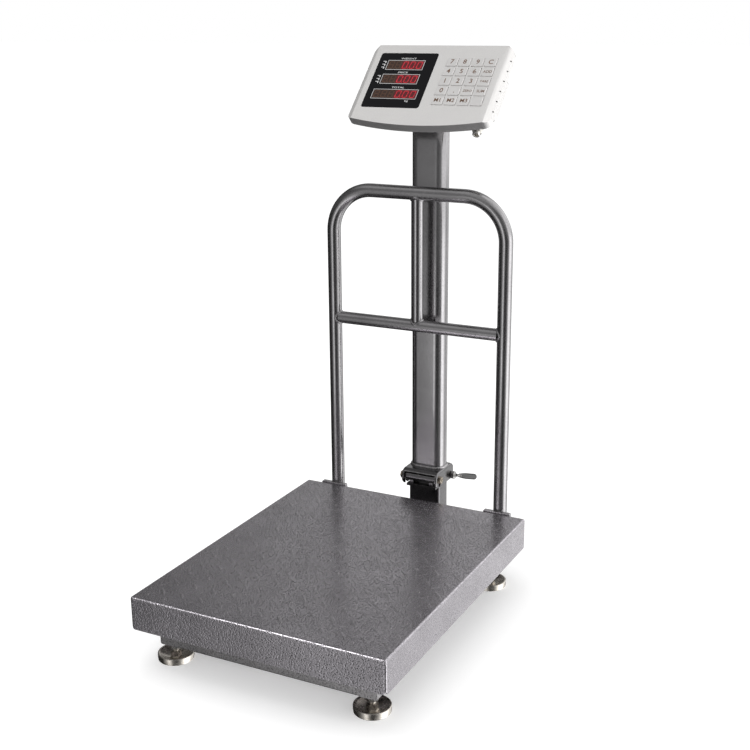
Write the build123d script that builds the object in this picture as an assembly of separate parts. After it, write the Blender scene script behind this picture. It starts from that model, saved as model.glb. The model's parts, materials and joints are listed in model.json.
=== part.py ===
"""Folding-column platform shipping scale, 400 x 500 mm platform, with a guard rail and a tilting head.

Millimetres, +Z up, +X to the right of someone standing in front of it, +Y to the back.  Sub-parts are
drawn about the middle of the platform at floor level.  save() then moves them back by ORIGIN_Y, so the
object's own origin is on the floor in the middle of everything it covers.
"""
import os
from math import cos, radians, sin

from build123d import *

# ---- driving dimensions -------------------------------------------------------------------------
PAN_WIDTH = 400.0
PAN_DEPTH = 500.0
PAN_TOP = 106.0            # height of the weighing surface above the floor
SKIRT_DEPTH = 50.0
SHEET = 2.0                # pan sheet thickness
PAN_FOLD = 3.5             # outer radius of the folded edges

BASE_WIDTH = 346.0
BASE_DEPTH = 444.0
BASE_BOTTOM = 25.5         # underside of the base frame above the floor
BASE_TUBE = 30.0           # square tube
WALL = 2.0                 # wall of every square or rectangular tube

SPINE_WIDTH = 60.0
SPINE_HEIGHT = 25.0

RAIL_HALF_SPAN = 150.0     # guard rail leg axis from the middle
RAIL_RADIUS = 11.0
RAIL_WALL = 1.5
RAIL_TOP = PAN_TOP + 507.0
RAIL_CROSSBAR = PAN_TOP + 293.0
RAIL_BEND = 69.0           # centreline radius of the two top corners
RAIL_BAR_RADIUS = 10.0     # crossbar and centre post
RAIL_PLATE = 7.0           # thickness of the plates that bolt to the pan

STUB_FRONT = 297.0
STUB_WIDTH = 56.0
STUB_DEPTH = 34.0
STUB_TOP = 138.0
HINGE_Y = 337.0            # folding axis of the column
HINGE_Z = 123.0
HINGE_BOLT_RADIUS = 4.0
RUNNING = 0.05             # radial clearance of every turning fit
BAR_Y = 288.0              # rest bar that the upright column leans on
BAR_Z = 130.0
BAR_RADIUS = 7.5
SHELF_TOP = 116.5          # lip under the rest bar
BAR_BOLT_RADIUS = 3.0
COLLAR_TOP = 144.0
COLLAR_PLATE = 4.0
EAR_INNER = 28.6
EAR_OUTER = 32.6
EAR_REAR = 345.0

LEVER_LENGTH = 100.0
LEVER_DROP = 21.0          # degrees below level, pointing back
ARM_RADIUS = 2.8
GRIP_RADIUS = 5.2
GRIP_START = 27.0
HUB_RADIUS = 6.5
HUB_WIDTH = 7.0
ARM_INSET = 2.2            # from the hub's outer end to the middle of the arm

COLUMN_WIDTH = 58.0
COLUMN_DEPTH = 37.0
COLUMN_Y = 318.0
COLUMN_TOP = PAN_TOP + 600.0
COLUMN_CORNER = 15.0

HEAD_TILT = 45.0           # degrees the face leans back from upright
HEAD_TOP_Y = 364.2         # top middle of the face
HEAD_TOP_Z = PAN_TOP + 728.1
HEAD_HALF = 121.0
HEAD_SIDE = 150.0          # length of the sides, down the face
HEAD_BOW = 163.0           # length down the middle
FRONT_SHELL = 13.0
BACK_PLATE = 2.5
SHELL_WALL = 2.5
BEVEL_WIDTH = 10.0
BEVEL_DEPTH = 6.0
HUMP_HALF = 112.0          # the deeper box on the back of the head
HUMP_TOP = 35.0            # down the face
HUMP_BOTTOM = 118.0
HUMP_BACK = 45.0           # behind the face
TILT_DOWN = 94.0           # tilt axis, down the face and behind it
TILT_BACK = 56.5
TILT_BOLT_RADIUS = 3.0
LUG_INNER = 11.0
LUG_OUTER = 17.0
BRACKET_INNER = 17.5
BRACKET_OUTER = 20.5

SOCKET_X = 90.0            # load-cell socket under the head, across and behind the face
SOCKET_BACK = 36.0
SWITCH_X = -70.0           # power rocker under the head
SWITCH_BACK = 30.0
SWITCH_RADIUS = 9.0
SWITCH_WIDTH = 12.0
SWITCH_GAP = 0.4

WINDOW_LEFT = -102.0
WINDOW_WIDTH = 100.0
WINDOW_TOP = 17.0
WINDOW_HEIGHT = 112.0
WINDOW_THICK = 1.5

KEY_WIDTH = 18.0
KEY_HEIGHT = 16.0
KEY_PROUD = 1.5
KEY_GAP = 0.3
KEY_COLUMNS = [26.3 + 21.7 * step for step in range(4)]
KEY_ROWS = [35.0 + 19.5 * step for step in range(5)]
KEY_NAMES = [
    ["7", "8", "9", "price"],
    ["4", "5", "6", "add"],
    ["1", "2", "3", "tare"],
    ["0", "point", "zero", "function"],
    ["m1", "m2", "m3", "clear"],
]

M6_RADIUS = 3.0            # load-cell and rail bolts
M8_RADIUS = 4.0            # overload stops
CELL_HALF_WIDTH = 15.0
CELL_HALF_LENGTH = 65.0
CELL_BOLTS = (35.0, 55.0)  # along the cell from its middle: fixed end at +y, live end at -y
RAIL_BOLT_OFFSET = 17.0
RAIL_BOLT_DOWN = 27.0      # below the pan's top

FOOT_X = BASE_WIDTH / 2 - BASE_TUBE / 2
FOOT_Y = BASE_DEPTH / 2 - BASE_TUBE / 2
FOOT_RADIUS = 26.0
FOOT_RIM = 10.5
STUD_RADIUS = 5.0

# ---- places that follow from them ---------------------------------------------------------------
LEVER_REACH = (LEVER_LENGTH - GRIP_RADIUS) * cos(radians(LEVER_DROP)) + GRIP_RADIUS
ORIGIN_Y = (HINGE_Y + LEVER_REACH - PAN_DEPTH / 2) / 2
SPINE_TOP = BASE_BOTTOM + SPINE_HEIGHT
RAIL_Y = PAN_DEPTH / 2 + RAIL_PLATE - 1.0 + RAIL_RADIUS
SPINE_REAR = STUB_FRONT + STUB_DEPTH + 14.0
CELL_BOTTOM = SPINE_TOP + 5.5
CELL_HEIGHT = 22.0
WEIGH_BOTTOM = CELL_BOTTOM + CELL_HEIGHT + 4.0
WEIGH_HEIGHT = 20.0
PAD_HEIGHT = PAN_TOP - SHEET - WEIGH_BOTTOM - WEIGH_HEIGHT
WEIGH_ARM_Y = 150.0
WEIGH_ARM_WIDTH = 30.0
WEIGH_ARM_REACH = 165.0
PAD_X = 150.0
PAD_RADIUS = 13.0
SWITCH_OPENING = (
    SWITCH_X - SWITCH_RADIUS - SWITCH_GAP,
    SWITCH_X + SWITCH_RADIUS + SWITCH_GAP,
    -HUMP_BOTTOM - 1,
    -HUMP_BOTTOM + SHELL_WALL + 1,
    -SWITCH_BACK - SWITCH_WIDTH / 2 - SWITCH_GAP,
    -SWITCH_BACK + SWITCH_WIDTH / 2 + SWITCH_GAP,
)
HEAD_PLANE = Plane(
    origin=(0, HEAD_TOP_Y, HEAD_TOP_Z),
    x_dir=(1, 0, 0),
    z_dir=(0, -cos(radians(HEAD_TILT)), sin(radians(HEAD_TILT))),
)


# ---- small builders -----------------------------------------------------------------------------
def block(x0, x1, y0, y1, z0, z1):
    """A box between two limits on each axis."""
    return Pos((x0 + x1) / 2, (y0 + y1) / 2, (z0 + z1) / 2) * Box(abs(x1 - x0), abs(y1 - y0), abs(z1 - z0))


def rod_x(y, z, x0, x1, radius):
    """A round bar along X."""
    return Pos((x0 + x1) / 2, y, z) * Rot(0, 90, 0) * Cylinder(radius, x1 - x0)


def rod_y(x, z, y0, y1, radius):
    """A round bar along Y."""
    return Pos(x, (y0 + y1) / 2, z) * Rot(90, 0, 0) * Cylinder(radius, y1 - y0)


def rod_z(x, y, z0, z1, radius):
    """A round bar along Z."""
    return Pos(x, y, (z0 + z1) / 2) * Cylinder(radius, z1 - z0)


def hexagon_bar(across_flats, length):
    """A hexagonal bar standing on z = 0."""
    return extrude(RegularPolygon(across_flats / 2, 6, major_radius=False), length)


def square_tube(x0, x1, y0, y1, z0, z1, along):
    """A rectangular tube, open along one axis."""
    outer = block(x0, x1, y0, y1, z0, z1)
    if along == "x":
        return outer - block(x0 - 1, x1 + 1, y0 + WALL, y1 - WALL, z0 + WALL, z1 - WALL)
    return outer - block(x0 + WALL, x1 - WALL, y0 - 1, y1 + 1, z0 + WALL, z1 - WALL)


def side_profile(points, x0, x1):
    """A plate between x0 and x1 whose outline is given as (y, z) points."""
    outline = Plane.YZ * make_face(Polyline(*points, close=True))
    return Pos(x0, 0, 0) * extrude(outline, x1 - x0)


def mirrored(shape):
    """The shape together with its mirror image on the other side of the middle plane."""
    return [shape, mirror(shape, about=Plane.YZ)]


def save(name, *solids):
    """Write one sub-part, moved to the object's own origin."""
    placed = [Pos(0, -ORIGIN_Y, 0) * solid for solid in solids]
    shape = placed[0] if len(placed) == 1 else Compound(children=placed)
    shape.label = name
    export_step(shape, f"parts/{name}.step")


# ---- base ---------------------------------------------------------------------------------------
def base_side_tubes():
    """Two tubes along the sides, bored for the feet below and the overload stops above."""
    half = BASE_WIDTH / 2
    top = BASE_BOTTOM + BASE_TUBE
    end = BASE_DEPTH / 2
    tube = block(half - BASE_TUBE, half, -end, end, BASE_BOTTOM, top)
    inner_x = half - BASE_TUBE + WALL
    inner_y = end - WALL
    tube -= block(inner_x, half - WALL, -inner_y, inner_y, BASE_BOTTOM + WALL, top - WALL)
    for y in (-FOOT_Y, FOOT_Y):
        tube -= rod_z(FOOT_X, y, BASE_BOTTOM - 1, BASE_BOTTOM + WALL + 1, STUD_RADIUS + RUNNING)
    for y in (-WEIGH_ARM_Y, WEIGH_ARM_Y):
        tube -= rod_z(FOOT_X, y, top - WALL - 1, top + 1, M8_RADIUS + RUNNING)
    return mirrored(tube)


def base_cross_tubes():
    """The front and rear tubes between the side tubes."""
    inner = BASE_WIDTH / 2 - BASE_TUBE
    tubes = []
    for side in (-1, 1):
        y0, y1 = sorted((side * BASE_DEPTH / 2, side * (BASE_DEPTH / 2 - BASE_TUBE)))
        tube = square_tube(-inner, inner, y0, y1, BASE_BOTTOM, BASE_BOTTOM + BASE_TUBE, "x")
        half = SPINE_WIDTH / 2
        if side > 0:
            tube -= block(-half, half, y0 - 1, y1 + 1, BASE_BOTTOM - 1, SPINE_TOP)
        tubes.append(tube)
    return tubes


def base_spine():
    """The beam down the middle that carries the load cell and, behind the pan, the column."""
    half = SPINE_WIDTH / 2
    front = -BASE_DEPTH / 2 + BASE_TUBE
    spine = square_tube(-half, half, front, SPINE_REAR, BASE_BOTTOM, SPINE_TOP, "y")
    spine += block(-half, half, SPINE_REAR - 3, SPINE_REAR, BASE_BOTTOM, SPINE_TOP)
    for y in CELL_BOLTS:
        spine -= rod_z(0, y, SPINE_TOP - WALL - 1, SPINE_TOP + 1, M6_RADIUS)
    return spine


def load_cell():
    """A single-point aluminium load cell with its two linked measuring holes."""
    half = CELL_HALF_WIDTH
    reach = CELL_HALF_LENGTH
    cell = block(-half, half, -reach, reach, CELL_BOTTOM, CELL_BOTTOM + CELL_HEIGHT)
    middle = CELL_BOTTOM + CELL_HEIGHT / 2
    for y in (-12, 12):
        cell -= rod_x(y, middle, -20, 20, 7.5)
    cell -= block(-20, 20, -12, 12, middle - 2, middle + 2)
    for y in CELL_BOLTS:
        cell -= rod_z(0, y, CELL_BOTTOM - 1, CELL_BOTTOM + 12, M6_RADIUS)
        cell -= rod_z(0, -y, CELL_BOTTOM + 10, CELL_BOTTOM + CELL_HEIGHT + 1, M6_RADIUS)
    return cell


def load_cell_spacers():
    """The plates that hold the cell off the spine at one end and off the weigh beam at the other."""
    half = CELL_HALF_WIDTH
    inner = CELL_BOLTS[0] - 10
    lower = block(-half, half, inner, CELL_HALF_LENGTH, SPINE_TOP, CELL_BOTTOM)
    upper = block(-half, half, -CELL_HALF_LENGTH, -inner, CELL_BOTTOM + CELL_HEIGHT, WEIGH_BOTTOM)
    for y in CELL_BOLTS:
        lower -= rod_z(0, y, SPINE_TOP - 1, CELL_BOTTOM + 1, M6_RADIUS)
        upper -= rod_z(0, -y, CELL_BOTTOM + CELL_HEIGHT - 1, WEIGH_BOTTOM + 1, M6_RADIUS)
    return [lower, upper]


def load_cell_bolts():
    """Two bolts up through the spine and two down through the weigh beam."""
    bolts = []
    for y in CELL_BOLTS:
        head = Pos(0, y, SPINE_TOP - WALL - 4) * hexagon_bar(10, 4)
        bolts.append(head + rod_z(0, y, SPINE_TOP - WALL - 1, CELL_BOTTOM + 11, M6_RADIUS))
        head = Pos(0, -y, WEIGH_BOTTOM + WALL) * hexagon_bar(10, 4)
        bolts.append(head + rod_z(0, -y, CELL_BOTTOM + 12, WEIGH_BOTTOM + WALL + 1, M6_RADIUS))
    return bolts


def weigh_beam():
    """The beam on the live end of the load cell."""
    reach = WEIGH_ARM_Y - WEIGH_ARM_WIDTH / 2
    beam = square_tube(-20, 20, -reach, reach, WEIGH_BOTTOM, WEIGH_BOTTOM + WEIGH_HEIGHT, "y")
    for y in CELL_BOLTS:
        beam -= rod_z(0, -y, WEIGH_BOTTOM - 1, WEIGH_BOTTOM + WALL + 1, M6_RADIUS)
    return beam


def weigh_arms():
    """The two capped cross arms whose ends carry the pan."""
    top = WEIGH_BOTTOM + WEIGH_HEIGHT
    arms = []
    for y in (-WEIGH_ARM_Y, WEIGH_ARM_Y):
        y0 = y - WEIGH_ARM_WIDTH / 2
        y1 = y + WEIGH_ARM_WIDTH / 2
        arm = block(-WEIGH_ARM_REACH, WEIGH_ARM_REACH, y0, y1, WEIGH_BOTTOM, top)
        inside = WEIGH_ARM_REACH - WALL
        arm -= block(-inside, inside, y0 + WALL, y1 - WALL, WEIGH_BOTTOM + WALL, top - WALL)
        arms.append(arm)
    return arms


def pan_pads():
    """Rubber pads between the arms and the pan."""
    z = WEIGH_BOTTOM + WEIGH_HEIGHT
    return [
        rod_z(x, y, z, z + PAD_HEIGHT, PAD_RADIUS)
        for x in (-PAD_X, PAD_X)
        for y in (-WEIGH_ARM_Y, WEIGH_ARM_Y)
    ]


def overload_stops():
    """Stop bolts that catch the arms before the load cell is bent too far."""
    top = BASE_BOTTOM + BASE_TUBE
    stops = []
    for x in (-FOOT_X, FOOT_X):
        for y in (-WEIGH_ARM_Y, WEIGH_ARM_Y):
            head = Pos(x, y, WEIGH_BOTTOM - 8) * hexagon_bar(13, 7)
            nut = Pos(x, y, top) * hexagon_bar(13, 5)
            stops.append(head + nut + rod_z(x, y, top - 10, WEIGH_BOTTOM - 7, M8_RADIUS))
    return stops


# ---- feet ---------------------------------------------------------------------------------------
def foot(x, y):
    """A levelling foot: dished disc, spanner hexagon and stud in one piece."""
    disc = rod_z(x, y, 0, FOOT_RIM, FOOT_RADIUS)
    disc = chamfer(disc.edges().filter_by(GeomType.CIRCLE).sort_by(Axis.Z)[0], 1.0)
    dish = Pos(x, y, FOOT_RIM + 30) * Sphere(38.3)
    disc -= dish
    hexagon = Pos(x, y, 2) * hexagon_bar(14, 11)
    stud = rod_z(x, y, 2, 46, STUD_RADIUS)
    return disc + hexagon + stud


def foot_lock_nuts():
    """Lock nuts against the underside of the side tubes."""
    nuts = []
    for x in (-FOOT_X, FOOT_X):
        for y in (-FOOT_Y, FOOT_Y):
            nut = Pos(x, y, BASE_BOTTOM - 8) * hexagon_bar(17, 8)
            nuts.append(nut - rod_z(x, y, 0, BASE_BOTTOM + 1, STUD_RADIUS + RUNNING))
    return nuts


# ---- pan and guard rail -------------------------------------------------------------------------
def rail_bolt_places():
    """x of every bolt through the rail's plates."""
    offsets = (-RAIL_BOLT_OFFSET, RAIL_BOLT_OFFSET)
    return [side * RAIL_HALF_SPAN + offset for side in (-1, 1) for offset in offsets]


def platform_pan():
    """A folded sheet cover with a skirt on all four sides."""
    pan = block(-PAN_WIDTH / 2, PAN_WIDTH / 2, -PAN_DEPTH / 2, PAN_DEPTH / 2, PAN_TOP - SKIRT_DEPTH, PAN_TOP)
    pan = fillet(pan.edges().filter_by(Axis.Z), PAN_FOLD)
    pan = fillet(pan.faces().sort_by(Axis.Z)[-1].edges(), PAN_FOLD)
    half_x = PAN_WIDTH / 2 - SHEET
    half_y = PAN_DEPTH / 2 - SHEET
    pan -= block(-half_x, half_x, -half_y, half_y, PAN_TOP - SKIRT_DEPTH - 1, PAN_TOP - SHEET)
    for x in rail_bolt_places():
        pan -= rod_y(x, PAN_TOP - RAIL_BOLT_DOWN, half_y - 1, PAN_DEPTH / 2 + 1, M6_RADIUS)
    return pan


def hoop_solid(radius):
    """A round bar bent to the guard rail's outline."""
    bottom = PAN_TOP - SKIRT_DEPTH + 2
    span = RAIL_HALF_SPAN
    corners = [
        (-span, RAIL_Y, bottom),
        (-span, RAIL_Y, RAIL_TOP),
        (span, RAIL_Y, RAIL_TOP),
        (span, RAIL_Y, bottom),
    ]
    path = FilletPolyline(*corners, radius=RAIL_BEND)
    section = Plane(origin=corners[0], z_dir=(0, 0, 1)) * Circle(radius)
    return sweep(section, path)


def rail_hoop():
    """The bent tube of the guard rail."""
    return hoop_solid(RAIL_RADIUS) - hoop_solid(RAIL_RADIUS - RAIL_WALL)


def rail_crossbar():
    """The level tube between the legs, cut to fit them."""
    bar = rod_x(RAIL_Y, RAIL_CROSSBAR, -RAIL_HALF_SPAN, RAIL_HALF_SPAN, RAIL_BAR_RADIUS)
    bar -= rod_x(RAIL_Y, RAIL_CROSSBAR, -RAIL_HALF_SPAN, RAIL_HALF_SPAN, RAIL_BAR_RADIUS - RAIL_WALL)
    return bar - hoop_solid(RAIL_RADIUS)


def rail_centre_post():
    """The short upright tube between the crossbar and the top of the hoop."""
    post = rod_z(0, RAIL_Y, RAIL_CROSSBAR, RAIL_TOP, RAIL_BAR_RADIUS - 0.5)
    post -= rod_z(0, RAIL_Y, RAIL_CROSSBAR, RAIL_TOP, RAIL_BAR_RADIUS - 0.5 - RAIL_WALL)
    post -= rod_x(RAIL_Y, RAIL_CROSSBAR, -30, 30, RAIL_BAR_RADIUS)
    return post - rod_x(RAIL_Y, RAIL_TOP, -30, 30, RAIL_RADIUS)


def rail_foot_plates():
    """The plates at the bottom of the legs that bolt to the back of the pan."""
    plates = []
    for side in (-1, 1):
        x = side * RAIL_HALF_SPAN
        y0 = PAN_DEPTH / 2
        plate = block(x - 23, x + 23, y0, y0 + RAIL_PLATE, PAN_TOP - SKIRT_DEPTH + 2, PAN_TOP + 2)
        plate = fillet(plate.edges().filter_by(Axis.Y), 2.0)
        plate -= rod_z(x, RAIL_Y, PAN_TOP - SKIRT_DEPTH, PAN_TOP + 5, RAIL_RADIUS)
        for offset in (-RAIL_BOLT_OFFSET, RAIL_BOLT_OFFSET):
            plate -= rod_y(x + offset, PAN_TOP - RAIL_BOLT_DOWN, y0 - 1, y0 + RAIL_PLATE + 1, M6_RADIUS)
        plates.append(plate)
    return plates


def rail_bolts():
    """Bolts through the plates and the rear skirt, with their nuts inside the skirt."""
    y0 = PAN_DEPTH / 2
    z = PAN_TOP - RAIL_BOLT_DOWN
    bolts = []
    for x in rail_bolt_places():
        head = Pos(x, y0 + RAIL_PLATE + 4, z) * Rot(90, 0, 0) * hexagon_bar(10, 4)
        nut = Pos(x, y0 - SHEET, z) * Rot(90, 0, 0) * hexagon_bar(10, 5)
        bolts.append(head + nut + rod_y(x, z, y0 - SHEET - 7, y0 + RAIL_PLATE + 1, M6_RADIUS))
    return bolts


# ---- folding joint ------------------------------------------------------------------------------
def column_stub():
    """The fixed stub on the spine, with the lip and webs that carry the rest bar, and the hinge lugs."""
    half = STUB_WIDTH / 2
    rear = STUB_FRONT + STUB_DEPTH
    stub = block(-half, half, STUB_FRONT, rear, SPINE_TOP, STUB_TOP)
    stub = fillet(stub.edges().filter_by(Axis.Z), 3.0)
    stub -= block(-half + 2.5, half - 2.5, STUB_FRONT + 2.5, rear - 2.5, SPINE_TOP - 1, STUB_TOP - 3)
    stub += block(-half + 1, half - 1, BAR_Y - 4, STUB_FRONT + 1, SHELF_TOP - 4, SHELF_TOP)
    for x in (-18, 18):
        stub += block(x - 3, x + 3, BAR_Y - 4, STUB_FRONT + 1, SHELF_TOP - 1, BAR_Z)
    stub -= rod_x(BAR_Y, BAR_Z, -half, half, BAR_RADIUS)
    for side in (-1, 1):
        x0, x1 = sorted((side * 12, side * 24))
        lug = block(x0, x1, rear - 1, HINGE_Y, HINGE_Z - 8, HINGE_Z + 8)
        stub += lug + rod_x(HINGE_Y, HINGE_Z, x0, x1, 8)
    return stub - rod_x(HINGE_Y, HINGE_Z, -30, 30, HINGE_BOLT_RADIUS)


def rest_bar():
    """The round spacer tube across the front of the stub, with the small screw that locks it."""
    bar = rod_x(BAR_Y, BAR_Z, -EAR_INNER + 0.4, EAR_INNER - 0.4, BAR_RADIUS)
    bar += Pos(-4, BAR_Y, BAR_Z) * Rot(45, 0, 0) * extrude(Circle(2.4), BAR_RADIUS + 1.4)
    return bar - rod_x(BAR_Y, BAR_Z, -EAR_OUTER, EAR_OUTER, BAR_BOLT_RADIUS)


def rest_bar_bolt():
    """The bolt through the rest bar that the collar's hooks close over."""
    reach = EAR_OUTER + 0.6
    head = Pos(-reach - 4.5, BAR_Y, BAR_Z) * Rot(0, 90, 0) * hexagon_bar(11, 4.5)
    nut = Pos(reach, BAR_Y, BAR_Z) * Rot(0, 90, 0) * hexagon_bar(11, 5)
    return head + nut + rod_x(BAR_Y, BAR_Z, -reach - 1, reach + 1, BAR_BOLT_RADIUS)


def clamp_collar():
    """The cap under the column: a top plate and two ears that reach down beside the stub."""
    ear_round = COLLAR_TOP - BAR_Z
    outline = [
        (BAR_Y, COLLAR_TOP),
        (EAR_REAR - 7, COLLAR_TOP),
        (EAR_REAR, COLLAR_TOP - 7),
        (EAR_REAR, HINGE_Z - 3),
        (HINGE_Y + 3, HINGE_Z - 8),
        (HINGE_Y - 3, HINGE_Z - 8),
        (BAR_Y, BAR_Z - ear_round),
    ]
    collar = side_profile(outline, -EAR_OUTER, EAR_OUTER)
    collar += rod_x(BAR_Y, BAR_Z, -EAR_OUTER, EAR_OUTER, ear_round)
    top_edges = collar.faces().sort_by(Axis.Z)[-1].edges().filter_by(Axis.X, reverse=True)
    collar = fillet(top_edges, 3.0)
    under = COLLAR_TOP - COLLAR_PLATE
    front = BAR_Y - ear_round
    collar -= block(-EAR_INNER, EAR_INNER, front - 1, EAR_REAR + 1, HINGE_Z - 20, under)
    reach = EAR_OUTER + 1
    collar -= rod_x(BAR_Y, BAR_Z + 0.5, -reach, reach, BAR_BOLT_RADIUS + 1.2)
    collar -= block(-reach, reach, BAR_Y - 4.2, BAR_Y + 4.2, HINGE_Z - 20, BAR_Z + 0.5)
    return collar - rod_x(HINGE_Y, HINGE_Z, -reach, reach, HINGE_BOLT_RADIUS + RUNNING)


def hinge_bolt():
    """The clamping bolt along the folding axis, head on the left, lever end on the right."""
    head = Pos(-EAR_OUTER - 6, HINGE_Y, HINGE_Z) * Rot(0, 90, 0) * hexagon_bar(13, 5.5)
    return head + rod_x(HINGE_Y, HINGE_Z, -EAR_OUTER - 1, EAR_OUTER + 1 + HUB_WIDTH, HINGE_BOLT_RADIUS)


def lever_axis():
    """A plane at the folding axis whose Z runs along the lever."""
    drop = radians(LEVER_DROP)
    middle = (EAR_OUTER + 1 + HUB_WIDTH - ARM_INSET, HINGE_Y, HINGE_Z)
    return Plane(origin=middle, x_dir=(1, 0, 0), z_dir=(0, cos(drop), -sin(drop)))


def lever_arm():
    """The hub on the bolt and the round arm out to the grip."""
    hub = rod_x(HINGE_Y, HINGE_Z, EAR_OUTER + 1, EAR_OUTER + 1 + HUB_WIDTH, HUB_RADIUS)
    arm = lever_axis() * extrude(Circle(ARM_RADIUS), GRIP_START + 20)
    from_hub = (Align.CENTER, Align.CENTER, Align.MIN)
    collar = lever_axis() * Pos(0, 0, HUB_RADIUS - 2) * Cone(3.8, ARM_RADIUS, 8, align=from_hub)
    bore = rod_x(HINGE_Y, HINGE_Z, EAR_OUTER, EAR_OUTER + 2 + HUB_WIDTH, HINGE_BOLT_RADIUS + RUNNING)
    return hub + arm + collar - bore


def lever_grip():
    """The teardrop grip moulded on the arm."""
    end = LEVER_LENGTH - GRIP_RADIUS
    side = Polyline((0, GRIP_START), (3.8, GRIP_START))
    side += Spline((3.8, GRIP_START), (4.8, GRIP_START + 14), (GRIP_RADIUS, end), tangents=((0.1, 1), (0, 1)))
    tip = (GRIP_RADIUS * sin(radians(45)), end + GRIP_RADIUS * cos(radians(45)))
    side += ThreePointArc((GRIP_RADIUS, end), tip, (0, LEVER_LENGTH))
    side += Line((0, LEVER_LENGTH), (0, GRIP_START))
    grip = revolve(Plane.XZ * make_face(side), Axis.Z)
    grip -= extrude(Circle(ARM_RADIUS), GRIP_START + 20)
    return lever_axis() * grip


def column_tube():
    """The folding column, welded to the collar."""
    outer = RectangleRounded(COLUMN_WIDTH, COLUMN_DEPTH, COLUMN_CORNER)
    inner = RectangleRounded(COLUMN_WIDTH - 4, COLUMN_DEPTH - 4, COLUMN_CORNER - 2)
    height = COLUMN_TOP - COLLAR_TOP
    tube = extrude(outer, height) - Pos(0, 0, -1) * extrude(inner, height - 2)
    return Pos(0, COLUMN_Y, COLLAR_TOP) * tube


def head_point(across, down, behind):
    """A point of the head, given across, down and behind its face."""
    return HEAD_PLANE.from_local_coords(Vector(across, -down, -behind))


def head_bracket():
    """The fork on the column's top that the head tilts in."""
    axis = head_point(0, TILT_DOWN, TILT_BACK)
    base = block(-BRACKET_OUTER, BRACKET_OUTER, 305, 337, COLUMN_TOP, COLUMN_TOP + 3)
    ear_outline = [
        (320, COLUMN_TOP),
        (337, COLUMN_TOP),
        (axis.Y + 8.5, axis.Z - 3),
        (axis.Y, axis.Z + 3),
        (axis.Y - 8, axis.Z - 3),
    ]
    fork = base
    for side in (-1, 1):
        x0, x1 = sorted((side * BRACKET_INNER, side * BRACKET_OUTER))
        fork += side_profile(ear_outline, x0, x1)
        fork += rod_x(axis.Y, axis.Z, x0, x1, 9)
    return fork - rod_x(axis.Y, axis.Z, -30, 30, TILT_BOLT_RADIUS)


def tilt_bolt():
    """The bolt through the fork and the head's lugs."""
    axis = head_point(0, TILT_DOWN, TILT_BACK)
    head = Pos(-BRACKET_OUTER - 4, axis.Y, axis.Z) * Rot(0, 90, 0) * hexagon_bar(10, 4)
    nut = Pos(BRACKET_OUTER, axis.Y, axis.Z) * Rot(0, 90, 0) * hexagon_bar(10, 5)
    return head + nut + rod_x(axis.Y, axis.Z, -BRACKET_OUTER - 1, BRACKET_OUTER + 6, TILT_BOLT_RADIUS)


# ---- head, drawn on its own plane: X across, -Y down the face, -Z behind it ----------------------
def head_outline(inset):
    """The head's outline: straight top and sides, bowed bottom edge, rounded corners."""
    half = HEAD_HALF - inset
    top = -inset
    side = -HEAD_SIDE + inset
    bow = -HEAD_BOW + inset
    edge = Polyline((-half, side), (-half, top), (half, top), (half, side))
    edge += ThreePointArc((half, side), (0, bow), (-half, side))
    return fillet(make_face(edge).vertices(), 13.0 - inset)


def bevel_cutters(sink):
    """Wedges that bevel the left and right edges of the face; sink moves them into the shell."""
    wedges = []
    for side in (-1, 1):
        outer = side * (HEAD_HALF + 1)
        inner = side * (HEAD_HALF - BEVEL_WIDTH)
        slope_end = -BEVEL_DEPTH * (BEVEL_WIDTH + 1) / BEVEL_WIDTH
        triangle = make_face(Polyline((inner, 0), (outer, 0), (outer, slope_end), close=True))
        wedge = extrude(Plane.XZ * triangle, HEAD_BOW + 20)
        wedge += block(*sorted((inner, outer)), -HEAD_BOW - 20, 0, 0, 5)
        wedges.append(Pos(0, 10, -sink) * wedge)
    return wedges


def screw_places():
    """The head's four screws, across and down the face."""
    return [(x, down) for x in (-104, 104) for down in (12, 140)]


def key_places():
    """Every key's name with its place across and down the face."""
    for names, down in zip(KEY_NAMES, KEY_ROWS):
        for name, across in zip(names, KEY_COLUMNS):
            yield name, across, down


def head_front_shell():
    """The face of the head with its seat for the display window and holes for the keys."""
    shell = extrude(head_outline(0), -FRONT_SHELL)
    cavity = Pos(0, 0, -SHELL_WALL) * extrude(head_outline(SHELL_WALL), -FRONT_SHELL)
    for wedge in bevel_cutters(0):
        shell -= wedge
    for wedge in bevel_cutters(SHELL_WALL + 0.5):
        cavity -= wedge
    shell -= cavity
    for side in (-1, 1):
        for step in range(6):
            notch = Pos(side * HEAD_HALF, -27 - 20 * step, -BEVEL_DEPTH) * Box(7, 2.4, 2.4)
            shell -= notch
    for x, down in screw_places():
        boss = Pos(x, -down, -SHELL_WALL) * extrude(Circle(4), -(FRONT_SHELL - SHELL_WALL))
        shell += boss - Pos(x, -down, -5) * extrude(Circle(1.5), -FRONT_SHELL)
    middle_x = WINDOW_LEFT + WINDOW_WIDTH / 2
    middle_y = -WINDOW_TOP - WINDOW_HEIGHT / 2
    seat = RectangleRounded(WINDOW_WIDTH + 0.4, WINDOW_HEIGHT + 0.4, 4.2)
    shell -= Pos(middle_x, middle_y, 0) * extrude(seat, -WINDOW_THICK)
    shell -= Pos(middle_x, middle_y, 1) * extrude(Rectangle(WINDOW_WIDTH - 6, WINDOW_HEIGHT - 6), -6)
    hole = extrude(Rectangle(KEY_WIDTH + 2 * KEY_GAP, KEY_HEIGHT + 2 * KEY_GAP), -6)
    for _, across, down in key_places():
        shell -= Pos(across, -down, 1) * hole
    return HEAD_PLANE * shell


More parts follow.
